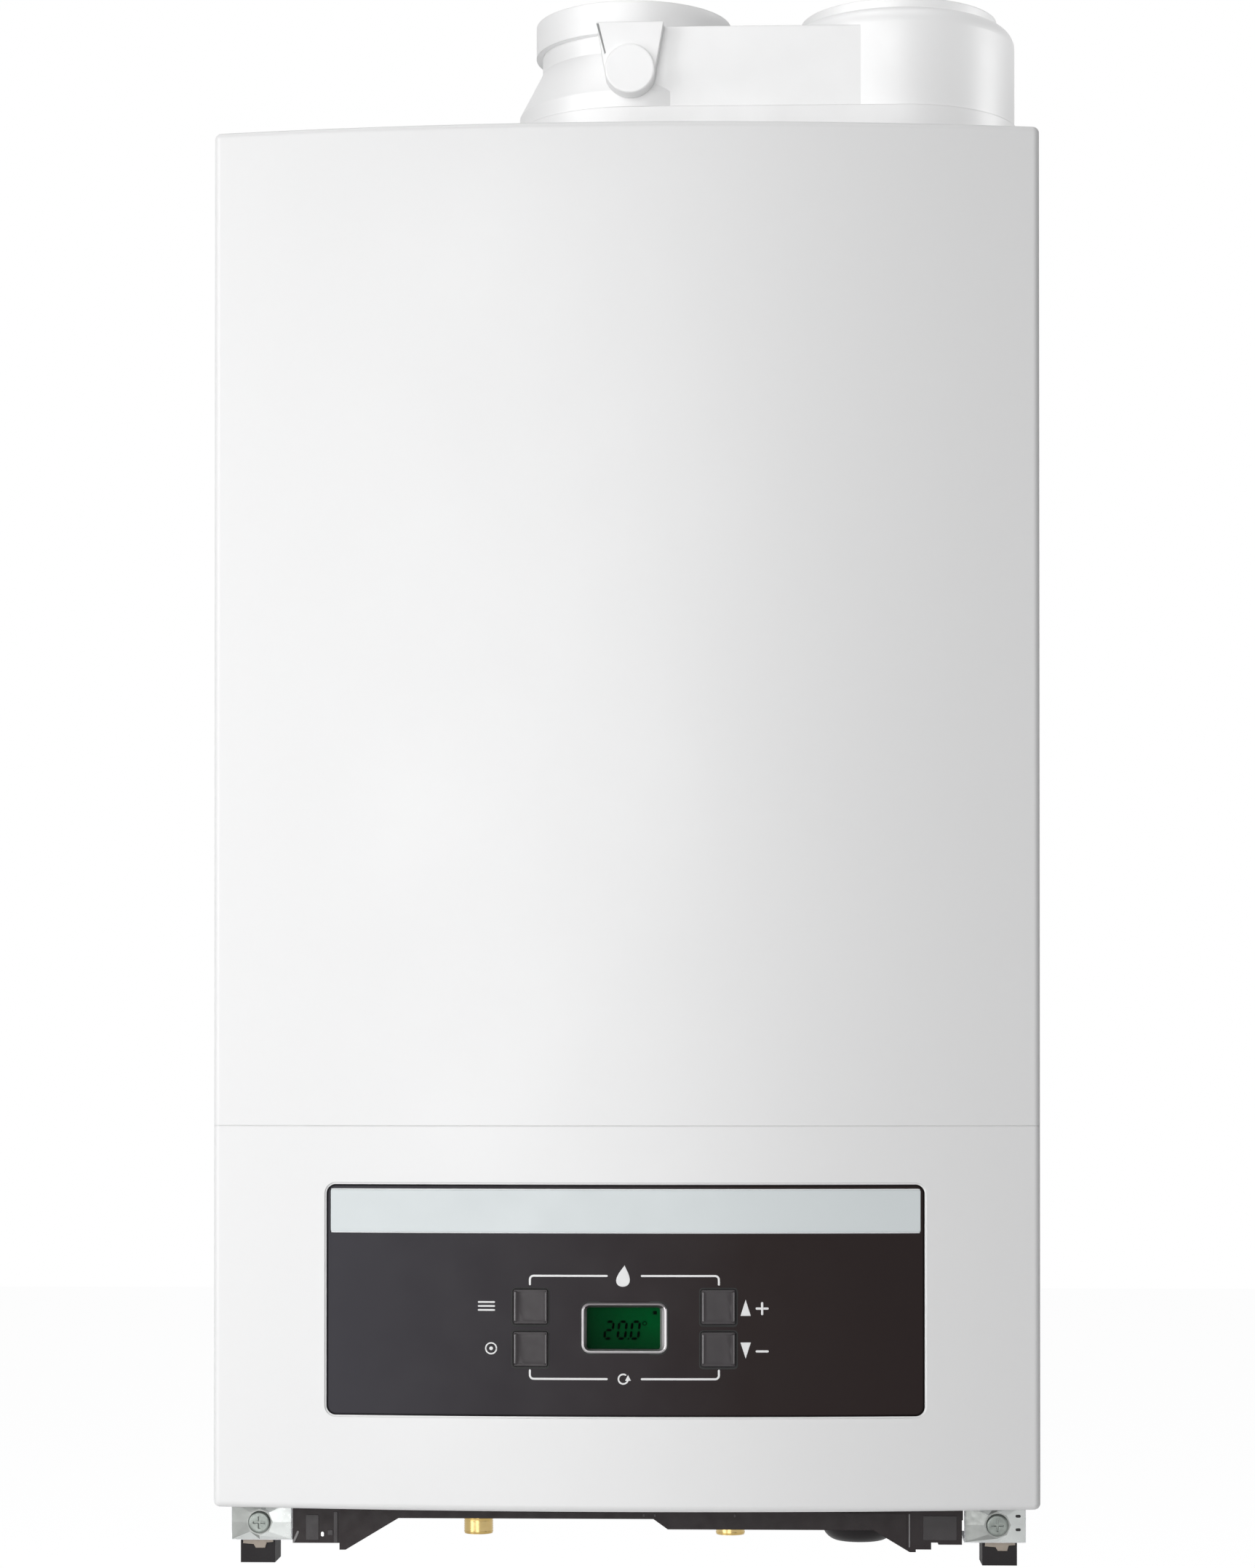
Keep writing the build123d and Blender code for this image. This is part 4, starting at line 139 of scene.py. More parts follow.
# The kicker is a small lamp at the flue adapter's right flank. Its cone takes in the side panel's top too.
KICKER_POWER = 0.046
FRONT_AIM = (0, -0.25, 0.35)
FILL = 0.1
FLOOR_GAP = 400 * MM  # the boiler hangs on a wall, above the floor
FLOOR_HALF = 9
FLOOR_GLOW = 0.93


def area_light(name, place, aim, size, power):
    data = bpy.data.lights.new(name, "AREA")
    data.shape = "RECTANGLE"
    data.size, data.size_y = size
    data.energy = power
    lamp = bpy.data.objects.new(name, data)
    bpy.context.scene.collection.objects.link(lamp)
    lamp.location = place
    lamp.rotation_euler = (Vector(aim) - Vector(place)).to_track_quat("-Z", "Y").to_euler()
    return lamp


def make_world():
    """White to the rays that see it, and a weak fill to all others."""
    world = bpy.data.worlds.new("studio")
    bpy.context.scene.world = world
    tree = bare_tree(world)
    out = node(tree, "OutputWorld")
    fill = node(tree, "Background", {"Color": (0.97, 0.98, 1, 1), "Strength": FILL})
    white = node(tree, "Background", {"Color": (1, 1, 1, 1), "Strength": 1})
    mix_shaders(tree, out, seen_rays(tree), fill.outputs[0], white.outputs[0])


def make_floor():
    """Matt floor that looks nearly white where it is seen, and keeps the object's shadow."""
    mesh = bpy.data.meshes.new("floor")
    r = FLOOR_HALF
    mesh.from_pydata([(-r, -r, 0), (r, -r, 0), (r, r, 0), (-r, r, 0)], [], [(0, 1, 2, 3)])
    floor = bpy.data.objects.new("floor", mesh)
    floor.location.z = cad_box[0][2] - FLOOR_GAP
    bpy.context.scene.collection.objects.link(floor)
    material = bpy.data.materials.new("pale_floor")
    tree = bare_tree(material)
    out = node(tree, "OutputMaterial")
    matt = node(tree, "BsdfDiffuse", {"Color": (0.9, 0.9, 0.9, 1)})
    shadowed = node(tree, "BsdfDiffuse", {"Color": (0.5, 0.5, 0.5, 1)})
    glow = node(tree, "Emission", {"Strength": FLOOR_GLOW})
    seen = node(tree, "AddShader")
    tree.links.new(shadowed.outputs[0], seen.inputs[0])
    tree.links.new(glow.outputs[0], seen.inputs[1])
    mix_shaders(tree, out, seen_rays(tree), matt.outputs[0], seen.outputs[0])
    mesh.materials.append(material)


# ---------------------------------------------------------------- materials
WORN_RANGE = (0.88, 0.99)  # softened against true normal: below it an edge is worn, above it a face is whole
WORN_GAIN, WORN_LIFT = 1.5, 0.05


def noise(tree, place, scale, detail=3, stretch=None):
    """Noise over the surface; `scale` is in features a metre, and `stretch` draws it out along the axes."""
    made = node(tree, "TexNoise", {"Scale": scale, "Detail": detail})
    if stretch:
        mapping = node(tree, "Mapping", {"Scale": stretch})
        tree.links.new(place, mapping.inputs["Vector"])
        place = mapping.outputs[0]
    tree.links.new(place, made.inputs["Vector"])
    return made.outputs["Fac"]


def spread(tree, value, low, high, source=(0.3, 0.7)):
    """Value stretched from the source range to low and high."""
    ends = {"From Min": source[0], "From Max": source[1], "To Min": low, "To Max": high}
    made = node(tree, "MapRange", ends)
    tree.links.new(value, made.inputs["Value"])
    return made.outputs[0]


def blend_colors(tree, value, first, second):
    """Colour between two others; each of them is an RGB triple or a socket."""
    made = node(tree, "Mix", data_type="RGBA")
    tree.links.new(value, made.inputs["Factor"])
    for slot, color in (("A", first), ("B", second)):
        socket = [s for s in made.inputs if s.name == slot and s.type == "RGBA"][0]
        if isinstance(color, tuple):
            socket.default_value = (*color, 1)
        else:
            tree.links.new(color, socket)
    return [s for s in made.outputs if s.type == "RGBA"][0]


def finish_material(
    name,
    color,
    rough,
    metallic=0.0,
    vary=0.06,
    mottle=6.0,
    rough_vary=0.06,
    grain=900.0,
    bump=0.00002,
    stretch=None,
    edge=0.0,
    edge_color=None,
    bevel=0.0004,
    coat=0.0,
    specular=0.5,
    second=None,
):
    """Material with colour variation, uneven gloss, fine relief, softened edges and, if asked, worn edges."""
    material = bpy.data.materials.new(name)
    material.use_nodes = True
    tree = material.node_tree
    shader = tree.nodes["Principled BSDF"]
    place = node(tree, "TexCoord").outputs["Object"]
    shade = tuple(max(0, c * (1 - vary)) for c in color) if second is None else second
    tone = blend_colors(tree, spread(tree, noise(tree, place, mottle, 4), 0, 1), color, shade)
    soft = node(tree, "Bevel", {"Radius": bevel}, samples=4)
    if edge:
        true = node(tree, "NewGeometry").outputs["True Normal"]
        dot = node(tree, "VectorMath", operation="DOT_PRODUCT")
        tree.links.new(soft.outputs[0], dot.inputs[0])
        tree.links.new(true, dot.inputs[1])
        worn = spread(tree, dot.outputs["Value"], edge, 0, WORN_RANGE)
        patch = math_node(tree, "MULTIPLY", worn, spread(tree, noise(tree, place, 60, 5), 0.1, 1))
        bare = edge_color or tuple(min(1, c * WORN_GAIN + WORN_LIFT) for c in color)
        tone = blend_colors(tree, patch, tone, bare)
    tree.links.new(tone, shader.inputs["Base Color"])
    gloss = noise(tree, place, mottle * 4, 3, stretch)
    tree.links.new(spread(tree, gloss, rough - rough_vary, rough + rough_vary), shader.inputs["Roughness"])
    relief = node(tree, "Bump", {"Strength": 1, "Distance": bump})
    tree.links.new(noise(tree, place, grain, 2, stretch), relief.inputs["Height"])
    tree.links.new(soft.outputs[0], relief.inputs["Normal"])
    tree.links.new(relief.outputs[0], shader.inputs["Normal"])
    for key, value in (("Metallic", metallic), ("Coat Weight", coat), ("Specular IOR Level", specular)):
        shader.inputs[key].default_value = value
    return material


def make_materials():
    m = {}

    def add(slot, *args, **values):
        m[slot] = finish_material(slot, *args, **values)

    add(
        "white_enamel", (0.87, 0.87, 0.87), 0.34, vary=0.012, mottle=3, rough_vary=0.03, grain=420,
        bump=0.000012, bevel=0.0006, specular=0.8
    )
    add(
        "galvanised_sheet", (0.6, 0.61, 0.62), 0.42, metallic=0.9, second=(0.42, 0.43, 0.45), mottle=70,
        grain=120, bump=0.00001, edge=0.5
    )
    add(
        "zinc_screw", (0.22, 0.24, 0.225), 0.34, metallic=1, vary=0.3, mottle=300, grain=900, edge=0.6,
        edge_color=(0.7, 0.74, 0.72)
    )
    add(
        "black_plastic", (0.013, 0.0075, 0.0085), 0.42, vary=0.3, mottle=40, grain=1600, bump=0.00003,
        edge=0.5, edge_color=(0.07, 0.062, 0.062), specular=0.25
    )
    add(
        "grey_box_plastic", (0.05, 0.05, 0.053), 0.52, grain=1500, bump=0.00003, edge=0.35,
        edge_color=(0.12, 0.12, 0.12)
    )
    add(
        "key_plastic", (0.058, 0.052, 0.055), 0.34, vary=0.15, grain=2000, bump=0.00001, mottle=60,
        specular=0.2
    )
    add("strip_film", (0.74, 0.79, 0.8), 0.36, vary=0.02, mottle=14, grain=1500, bump=0.000004)
    add("silver_trim", (0.5, 0.48, 0.49), 0.3, metallic=0.85, vary=0.1, grain=1400, bump=0.000006)
    add("board_green", (0.01, 0.09, 0.035), 0.35, vary=0.25, mottle=60, grain=700, bump=0.00002, edge=0.3)
    add("steel_pin", (0.5, 0.5, 0.5), 0.25, metallic=1, grain=500, stretch=(20, 1, 1))
    add(
        "white_plastic", (0.91, 0.91, 0.91), 0.5, metallic=0.2, specular=1.0, vary=0.02, mottle=12,
        grain=1300, bump=0.000018, bevel=0.0008
    )
    add(
        "rubber_black", (0.015, 0.015, 0.015), 0.75, vary=0.2, grain=1500, bump=0.00004, edge=0.2,
        edge_color=(0.05, 0.05, 0.05)
    )
    add(
        "cap_plastic", (0.93, 0.93, 0.93), 0.5, metallic=0.2, specular=1.0, vary=0.02, mottle=20,
        grain=1500, bump=0.000014, bevel=0.0006
    )
    add("flue_steel", (0.6, 0.6, 0.6), 0.3, metallic=1, grain=300, stretch=(1, 1, 14), mottle=12)
    add(
        "sump_plastic", (0.02, 0.02, 0.023), 0.5, grain=1400, bump=0.00003, edge=0.35,
        edge_color=(0.07, 0.07, 0.07)
    )
    add(
        "cast_aluminium", (0.52, 0.52, 0.53), 0.5, metallic=0.9, second=(0.4, 0.4, 0.41), mottle=25,
        grain=700, bump=0.00012, edge=0.55, edge_color=(0.75, 0.75, 0.76), bevel=0.0012
    )
    add("ceramic_electrode", (0.78, 0.76, 0.7), 0.2, vary=0.05, grain=800, coat=0.6)
    add("burner_steel", (0.4, 0.39, 0.38), 0.4, metallic=1, second=(0.3, 0.27, 0.25), mottle=18, grain=400)
    add(
        "motor_plastic", (0.018, 0.018, 0.02), 0.45, grain=1500, bump=0.00003, edge=0.35,
        edge_color=(0.08, 0.08, 0.08)
    )
    add("wheel_plastic", (0.04, 0.04, 0.043), 0.45, grain=1200, bump=0.00002)
    add(
        "copper", (0.72, 0.34, 0.2), 0.28, metallic=1, second=(0.5, 0.22, 0.13), mottle=22, grain=350,
        stretch=(1, 1, 8)
    )
    add(
        "vessel_red", (0.42, 0.018, 0.014), 0.36, vary=0.1, mottle=10, grain=380, bump=0.00003, edge=0.3,
        bevel=0.001
    )
    add(
        "brass_fitting", (0.58, 0.42, 0.16), 0.2, metallic=1, second=(0.4, 0.28, 0.1), mottle=40,
        grain=600, bump=0.00002, edge=0.5, edge_color=(0.85, 0.7, 0.4)
    )
    add("actuator_grey", (0.1, 0.105, 0.115), 0.5, grain=1400, bump=0.00003, edge=0.3)
    add("plate_steel", (0.55, 0.54, 0.52), 0.3, metallic=1, second=(0.48, 0.46, 0.43), mottle=22, grain=500)
    add("knob_red", (0.4, 0.012, 0.01), 0.42, grain=1300, bump=0.00002, edge=0.3)
    add("pump_iron", (0.03, 0.03, 0.033), 0.55, vary=0.2, grain=800, bump=0.00012, edge=0.35, bevel=0.001)
    add("pump_red", (0.3, 0.012, 0.012), 0.4, grain=500, bump=0.00003, edge=0.3, bevel=0.001)
    add(
        "trap_grey", (0.011, 0.009, 0.01), 0.5, specular=0.2, grain=1300, bump=0.00002, edge=0.35,
        edge_color=(0.05, 0.05, 0.05), bevel=0.0008
    )
    add(
        "foot_rubber", (0.014, 0.012, 0.013), 0.62, specular=0.25, grain=1300, bump=0.00005, edge=0.35,
        edge_color=(0.12, 0.12, 0.12)
    )
    return m


def clear_material():
    """Clear moulded window: see-through, with a thin gloss that is faintly uneven."""
    material = bpy.data.materials.new("clear_window")
    tree = bare_tree(material)
    out = node(tree, "OutputMaterial")
    place = node(tree, "TexCoord").outputs["Object"]
    through = node(tree, "BsdfTransparent", {"Color": (0.93, 0.97, 0.94, 1)})
    gloss = node(tree, "BsdfGlossy")
    tree.links.new(spread(tree, noise(tree, place, 90, 2), 0.04, 0.12), gloss.inputs["Roughness"])
    share = node(tree, "Fresnel", {"IOR": 1.04})
    mix_shaders(tree, out, share.outputs[0], through.outputs[0], gloss.outputs[0])
    return material


def fade_base(material, make_share, first):
    """Base colour faded from `first`, where the share is 0, to the colour that the material had."""
    tree = material.node_tree
    base = tree.nodes["Principled BSDF"].inputs["Base Color"]
    tone = base.links[0].from_socket
    split = node(tree, "SeparateXYZ")
    tree.links.new(node(tree, "TexCoord").outputs["Object"], split.inputs[0])
    tree.links.new(blend_colors(tree, make_share(tree, split.outputs), first, tone), base)
    return material


def fascia_material():
    """Smoked acrylic of the panel, with a painted sheen: bluer and a little lighter towards its left end,
    where the light falls.
    """
    smoked = finish_material(
        "fascia_plastic", (0.0185, 0.0115, 0.0112), 0.42, vary=0.12, mottle=14, grain=2200, bump=0.000012,
        specular=0.12
    )

    def share(tree, at):
        return spread(tree, at["X"], 0, 1, (-0.14, 0.06))

    # Painted sheen: the lighter, bluer colour at the left end stands in for light falling from the left.
    return fade_base(smoked, share, (0.043, 0.041, 0.049))


def lcd_material():
    """Green display glass with painted shade: darker towards its left and lower edges, where the frame's
    recess shades it.
    """

    def share(tree, at):
        side = spread(tree, at["X"], 0.35, 1, (-0.019, 0.012))
        return math_node(tree, "MULTIPLY", side, spread(tree, at["Z"], 0.55, 1, (0.078, 0.09)))

    glass = finish_material(
        "lcd_green", (0.001, 0.08, 0.02), 0.4, vary=0.12, mottle=60, grain=900, bump=0.000002, specular=0
    )
    # Painted shade of the recess on the glass's left and lower edges.
    return fade_base(glass, share, (0.001, 0.008, 0.004))


materials = make_materials()
materials["clear_window"] = clear_material()
materials["lcd_green"] = lcd_material()
materials["fascia_plastic"] = fascia_material()
# Half-shaded and shaded copies of the silver trim: painted shade for the display frame's lower, left and top
# faces.
silver_painted_half_shade = finish_material("silver_painted_half_shade", (0.3, 0.29, 0.295), 0.35, metallic=0.8, mottle=60, grain=1400)
silver_painted_shade = finish_material("silver_painted_shade", (0.13, 0.12, 0.125), 0.35, metallic=0.8, mottle=60, grain=1400)
# Lit and shaded copies of zinc, painted onto the corner brackets' facets as reflection and shade.
zinc_painted_lit = finish_material(
    "zinc_painted_lit", (0.55, 0.57, 0.56), 0.3, metallic=0.85, vary=0.12, mottle=90, grain=500
)
zinc_painted_shade = finish_material(
    "zinc_painted_shade", (0.26, 0.27, 0.26), 0.35, metallic=0.8, vary=0.2, mottle=90, grain=500
)
# Pale greys for painted highlights: the lines along the keys' side edges and the tray's ribs.
key_edge_painted_highlight = finish_material(
    "key_edge_painted_highlight", (0.42, 0.41, 0.42), 0.3, vary=0.2, mottle=60, grain=1500, bump=0.000004
)
dim_painted_highlight = finish_material(
    "dim_painted_highlight", (0.2, 0.19, 0.195), 0.3, vary=0.2, mottle=60, grain=1500, bump=0.000004
)
# Lighter black plastic: painted sheen for the tray's pads.
tray_painted_sheen = finish_material(
    "tray_painted_sheen", (0.03, 0.025, 0.027), 0.36, vary=0.3, mottle=60, grain=1600, bump=0.00002,
    specular=0.35
)
# Grey for a painted shadow line along the flue adapter's boss.
crease_painted_shadow = finish_material("crease_painted_shadow", (0.36, 0.36, 0.36), 0.6, vary=0.1, mottle=60, grain=900)
clip_beige = finish_material(
    "clip_beige", (0.4, 0.34, 0.28), 0.4, vary=0.2, mottle=90, grain=900, bump=0.00001, edge=0.4
)
# Whiter than the strip's film: painted highlight for the strip's edges.
strip_edge_painted_highlight = finish_material(
    "strip_edge_painted_highlight", (0.9, 0.92, 0.93), 0.25, vary=0.03, mottle=40, grain=900, bump=0.000003
)
print_white = finish_material(
    "print_white", (0.93, 0.93, 0.93), 0.5, vary=0.05, mottle=60, grain=1200, bump=0.000004
)
digit_black = finish_material(
    "digit_black", (0.0003, 0.002, 0.001), 0.5, vary=0.1, mottle=60, grain=900, bump=0.000002, specular=0
)
for subpart in frame["record"]["subparts"]:
    mesh = nodes[subpart["node"]].data
    finish = materials[subpart["material_slot"]]
    for place in range(len(mesh.materials)):
        mesh.materials[place] = finish
    if not mesh.materials:
        mesh.materials.append(finish)


# ---------------------------------------------------------------- shapes on the front
BOW_R = 1258 * MM  # radius of the bowed front
FASCIA_DEPTH = 1.0 * MM  # fascia behind the front cover's surface


def bow_y(x, depth=0.0):
    """Y of the bowed front at x, that far behind its surface."""
    return APEX_Y + BOW_R - math.sqrt((BOW_R - depth) ** 2 - x * x)


def fascia_y(x):
    return bow_y(x, FASCIA_DEPTH)


def plane_at(y):
    """Surface that lies at the same y everywhere."""
    return lambda x: y


def add_piece(name, bm, slot, body, smooth=False, material=None):
    """Object of the finished bmesh, with its material, riding on a body."""
    bmesh.ops.recalc_face_normals(bm, faces=bm.faces)
    mesh = bpy.data.meshes.new(name)
    bm.to_mesh(mesh)
    bm.free()
    mesh.materials.append(material or materials[slot])
    for face in mesh.polygons:
        face.use_smooth = smooth
    piece = bpy.data.objects.new(name, mesh)
    bpy.context.scene.collection.objects.link(piece)
    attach(piece, body)
    return piece


def close_band(bm, front, back):
    """Side faces between two loops of vertices."""
    for a in range(len(front)):
        b = (a + 1) % len(front)
        bm.faces.new((front[a], front[b], back[b], back[a]))


def close_rings(bm, rings):
    """Bands from each loop to the next, and from the last back to the first."""
    for a in range(len(rings)):
        close_band(bm, rings[a], rings[(a + 1) % len(rings)])


SUNK = 0.3 * MM  # usual depth of a mark behind its surface


def add_mark(bm, outline, surface, proud, sunk=SUNK):
    """Raised mark with a closed outline of (x, z) points, on surface(x)."""
    front = [bm.verts.new((x, surface(x) - proud, z)) for x, z in outline]
    back = [bm.verts.new((x, surface(x) + sunk, z)) for x, z in outline]
    bm.faces.new(front)
    bm.faces.new(back)
    close_band(bm, front, back)


def add_ribbon(bm, path, width, surface, proud, sunk=SUNK):
    """Raised band with round ends along a path of (x, z) points."""
    half = width / 2
    last = len(path) - 1
    stations = []
    for place, (x, z) in enumerate(path):
        after, before = path[min(place + 1, last)], path[max(place - 1, 0)]
        way = Vector((after[0] - before[0], after[1] - before[1])).normalized()
        stations.append((x, z, way, half))
    for end, sign in ((0, -1), (-1, 1)):
        x, z, way, _ = stations[end]
        for turn in (30, 60, 80):
            reach = sign * half * math.sin(math.radians(turn))
            cap = (x + way.x * reach, z + way.y * reach, way, half * math.cos(math.radians(turn)))
            stations = [cap] + stations if sign < 0 else stations + [cap]
    rings = []
    for x, z, way, wide in stations:
        left, right = (x - way.y * wide, z + way.x * wide), (x + way.y * wide, z - way.x * wide)
        corners = [(left, -proud), (right, -proud), (right, sunk), (left, sunk)]
        rings.append([bm.verts.new((a, surface(a) + off, b)) for (a, b), off in corners])
    for first, second in zip(rings, rings[1:]):
        close_band(bm, first, second)
    bm.faces.new(rings[0])
    bm.faces.new(rings[-1])


def add_frame(bm, outer, inner, surface, proud):
    """Raised flat frame between two outlines with the same number of points."""
    loops = []
    for outline, off in ((outer, -proud), (inner, -proud), (inner, SUNK), (outer, SUNK)):
        loops.append([bm.verts.new((x, surface(x) + off, z)) for x, z in outline])
    close_rings(bm, loops)


def paint_faces(piece, material, test):
    """A further material on the faces that pass the test."""
    piece.data.materials.append(material)
    for face in piece.data.polygons:
        if test(face):
            face.material_index = len(piece.data.materials) - 1


def line(start, end, step=3 * MM):
    """Points along a straight line, close enough to follow the bow."""
    count = max(1, round((Vector(end) - Vector(start)).length / step))
    return [tuple(Vector(start).lerp(Vector(end), k / count)) for k in range(count + 1)]


def arc(centre, radius, start, end, steps=8):
    """Points along an arc, between angles in degrees."""
    turns = [math.radians(start + (end - start) * k / steps) for k in range(steps + 1)]
    return [(centre[0] + radius * math.cos(t), centre[1] + radius * math.sin(t)) for t in turns]


def elbow(x0, z0, x1, z1):
    """Path up or down from (x0, z0), round a corner, then sideways to (x1, z1)."""
    radius = 1.8 * MM
    side = 1 if x1 > x0 else -1
    rise = 1 if z1 > z0 else -1
    centre = (x0 + side * radius, z1 - rise * radius)
    first, last = (180, 180 - 90 * rise) if side > 0 else (0, 90 * rise)
    turn = arc(centre, radius, first, last)
    return line((x0, z0), turn[0], 1 * MM)[:-1] + turn + line(turn[-1], (x1, z1))[1:]


def rounded_box(width, height, radius, steps=5):
    """Closed outline of a rectangle with round corners, about its centre."""
    a, b = width / 2 - radius, height / 2 - radius
    corners = [((a, b), 0), ((-a, b), 90), ((-a, -b), 180), ((a, -b), 270)]
    return [p for centre, start in corners for p in arc(centre, radius, start, start + 90, steps)]


def moved(outline, x, z):
    return [(a + x, b + z) for a, b in outline]


# ---------------------------------------------------------------- control panel
KEY_X = 45.1 * MM
KEY_Z = (98.4 * MM, 78.1 * MM)
KEY_SIZE = 16.4 * MM
KEY_DEPTH = 0.3 * MM  # key's face behind the cover's surface
DISPLAY_Z = 88.25 * MM
LINE_W = 1.0 * MM
PRINT_T = 0.08 * MM
MARK_LOW_Z, MARK_HIGH_Z = 63.8 * MM, 113.2 * MM
MARK_X = 45.3 * MM
MARK_TURN = 4.1 * MM  # length of the turned ends


def panel_lines():
    """Bracket lines above and below the display."""
    bm = bmesh.new()
    for z, turn in ((MARK_HIGH_Z, -MARK_TURN), (MARK_LOW_Z, MARK_TURN)):
        for x in (-MARK_X, MARK_X):
            path = elbow(x, z + turn, math.copysign(8.4 * MM, x), z)
            add_ribbon(bm, path, LINE_W, fascia_y, PRINT_T)
    add_piece("panel_lines", bm, "white_plastic", "control_box", material=print_white)


def flame_icon():
    """Plain drop with a slightly leaning tip, above the display."""
    height, width, steps = 10.4 * MM, 6.4 * MM, 28
    outline = []
    for place in range(steps):
        t = 2 * math.pi * place / steps
        x = width * 0.72 * math.sin(t) * math.sin(t / 2) ** 1.4
        z = height / 2 * math.cos(t)
        outline.append((x + 0.9 * MM * math.cos(t / 2) ** 4 - 0.7 * MM, z + 113.2 * MM))
    bm = bmesh.new()
    add_mark(bm, outline, fascia_y, PRINT_T)
    add_piece("flame_icon", bm, "white_plastic", "control_box", material=print_white)


def turn_icon():
    """Circular arrow below the display."""
    bm = bmesh.new()
    centre, radius = (-0.5 * MM, MARK_LOW_Z), 2.3 * MM
    add_ribbon(bm, arc(centre, radius, 60, 350, 20), 0.8 * MM, fascia_y, PRINT_T)
    tip = (centre[0] + radius, centre[1] + 2.0 * MM)
    wing = 1.4 * MM
    head = [tip, (tip[0] - wing, tip[1] - 2 * wing), (tip[0] + wing, tip[1] - 2 * wing)]
    add_mark(bm, head, fascia_y, PRINT_T)
    add_piece("turn_icon", bm, "white_plastic", "control_box", material=print_white)


def key_icons():
    """Signs beside the keys: bars and a ringed dot at the left, up, plus, down and minus at the right."""
    bm = bmesh.new()
    high, low = 98.6 * MM, 78.3 * MM
    for step in (-1, 0, 1):
        z = high + step * 1.9 * MM
        add_ribbon(bm, line((-70 * MM, z), (-62.5 * MM, z)), 0.85 * MM, fascia_y, PRINT_T)
    ring = arc((-64 * MM, low), 2.6 * MM, 0, 350, 24)
    add_ribbon(bm, ring, 0.7 * MM, fascia_y, PRINT_T)
    add_mark(bm, arc((-64 * MM, low), 0.9 * MM, 0, 345, 23), fascia_y, PRINT_T)
    for z, rise in ((high - 0.6 * MM, 1), (low - 0.8 * MM, -1)):
        half, wide = 3.9 * MM * rise, 2.5 * MM
        tall = [(58.1 * MM, z + half), (58.1 * MM - wide, z - half), (58.1 * MM + wide, z - half)]
        add_mark(bm, tall, fascia_y, PRINT_T)
        bar = line((63.4 * MM, z - 0.4 * MM), (68.6 * MM, z - 0.4 * MM))
        add_ribbon(bm, bar, 1.1 * MM, fascia_y, PRINT_T)
    z = high - 1 * MM
    add_ribbon(bm, line((66 * MM, z - 2.6 * MM), (66 * MM, z + 2.6 * MM)), 1.1 * MM, fascia_y, PRINT_T * 1.3)
    add_piece("key_icons", bm, "white_plastic", "control_box", material=print_white)


SEGMENTS = {"2": "abged", "0": "abcdef"}
DIGIT_T = 0.05 * MM
lcd_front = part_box("lcd_panel")[0][1]
lcd_face = plane_at(lcd_front - 0.04 * MM)


def digit_segment(letter, width, height, thick):
    """Outline of one segment of a seven-segment digit, about the digit's centre."""
    a, b, t = width / 2, height / 2, thick / 2
    gap = thick * 0.25
    flat = {"a": b - t, "g": 0, "d": -b + t}
    if letter in flat:
        z = flat[letter]
        ends = (-a + t + gap, a - t - gap)
        upper = [(ends[0], z), (ends[0] + t, z + t), (ends[1] - t, z + t)]
        return upper + [(ends[1], z), (ends[1] - t, z - t), (ends[0] + t, z - t)]
    x = (a - t) * (1 if letter in "bc" else -1)
    low, high = (gap, b - t - gap) if letter in "bf" else (-b + t + gap, -gap)
    return [(x, high), (x + t, high - t), (x + t, low + t), (x, low), (x - t, low + t), (x - t, high - t)]


def display_digits():
    """Dark slanted digits, a point and a degree ring on the display."""
    bm = bmesh.new()
    width, height, thick, slant = 4.8 * MM, 9.3 * MM, 1.25 * MM, 0.12
    centre_z = 87.1 * MM
    for place, digit in enumerate("200"):
        x = (-7.4 + place * 6.3) * MM
        for letter in SEGMENTS[digit]:
            outline = [
                (x + a + slant * b, centre_z + b) for a, b in digit_segment(letter, width, height, thick)
            ]
            add_mark(bm, outline, lcd_face, DIGIT_T, 0.0)
    point = moved(rounded_box(0.9 * MM, 0.9 * MM, 0.3 * MM, 2), 1.9 * MM, centre_z - height / 2 + 0.5 * MM)
    add_mark(bm, point, lcd_face, DIGIT_T, 0.0)
    ring = arc((9.7 * MM, centre_z + 3.3 * MM), 0.9 * MM, 0, 340, 12)
    add_ribbon(bm, ring, 0.5 * MM, lcd_face, DIGIT_T, 0.0)
    corner = moved(rounded_box(1.9 * MM, 1.7 * MM, 0.3 * MM, 2), 14.6 * MM, 95.5 * MM)
    add_mark(bm, corner, lcd_face, DIGIT_T, 0.0)
    add_piece("display_digits", bm, "rubber_black", "control_box", material=digit_black)


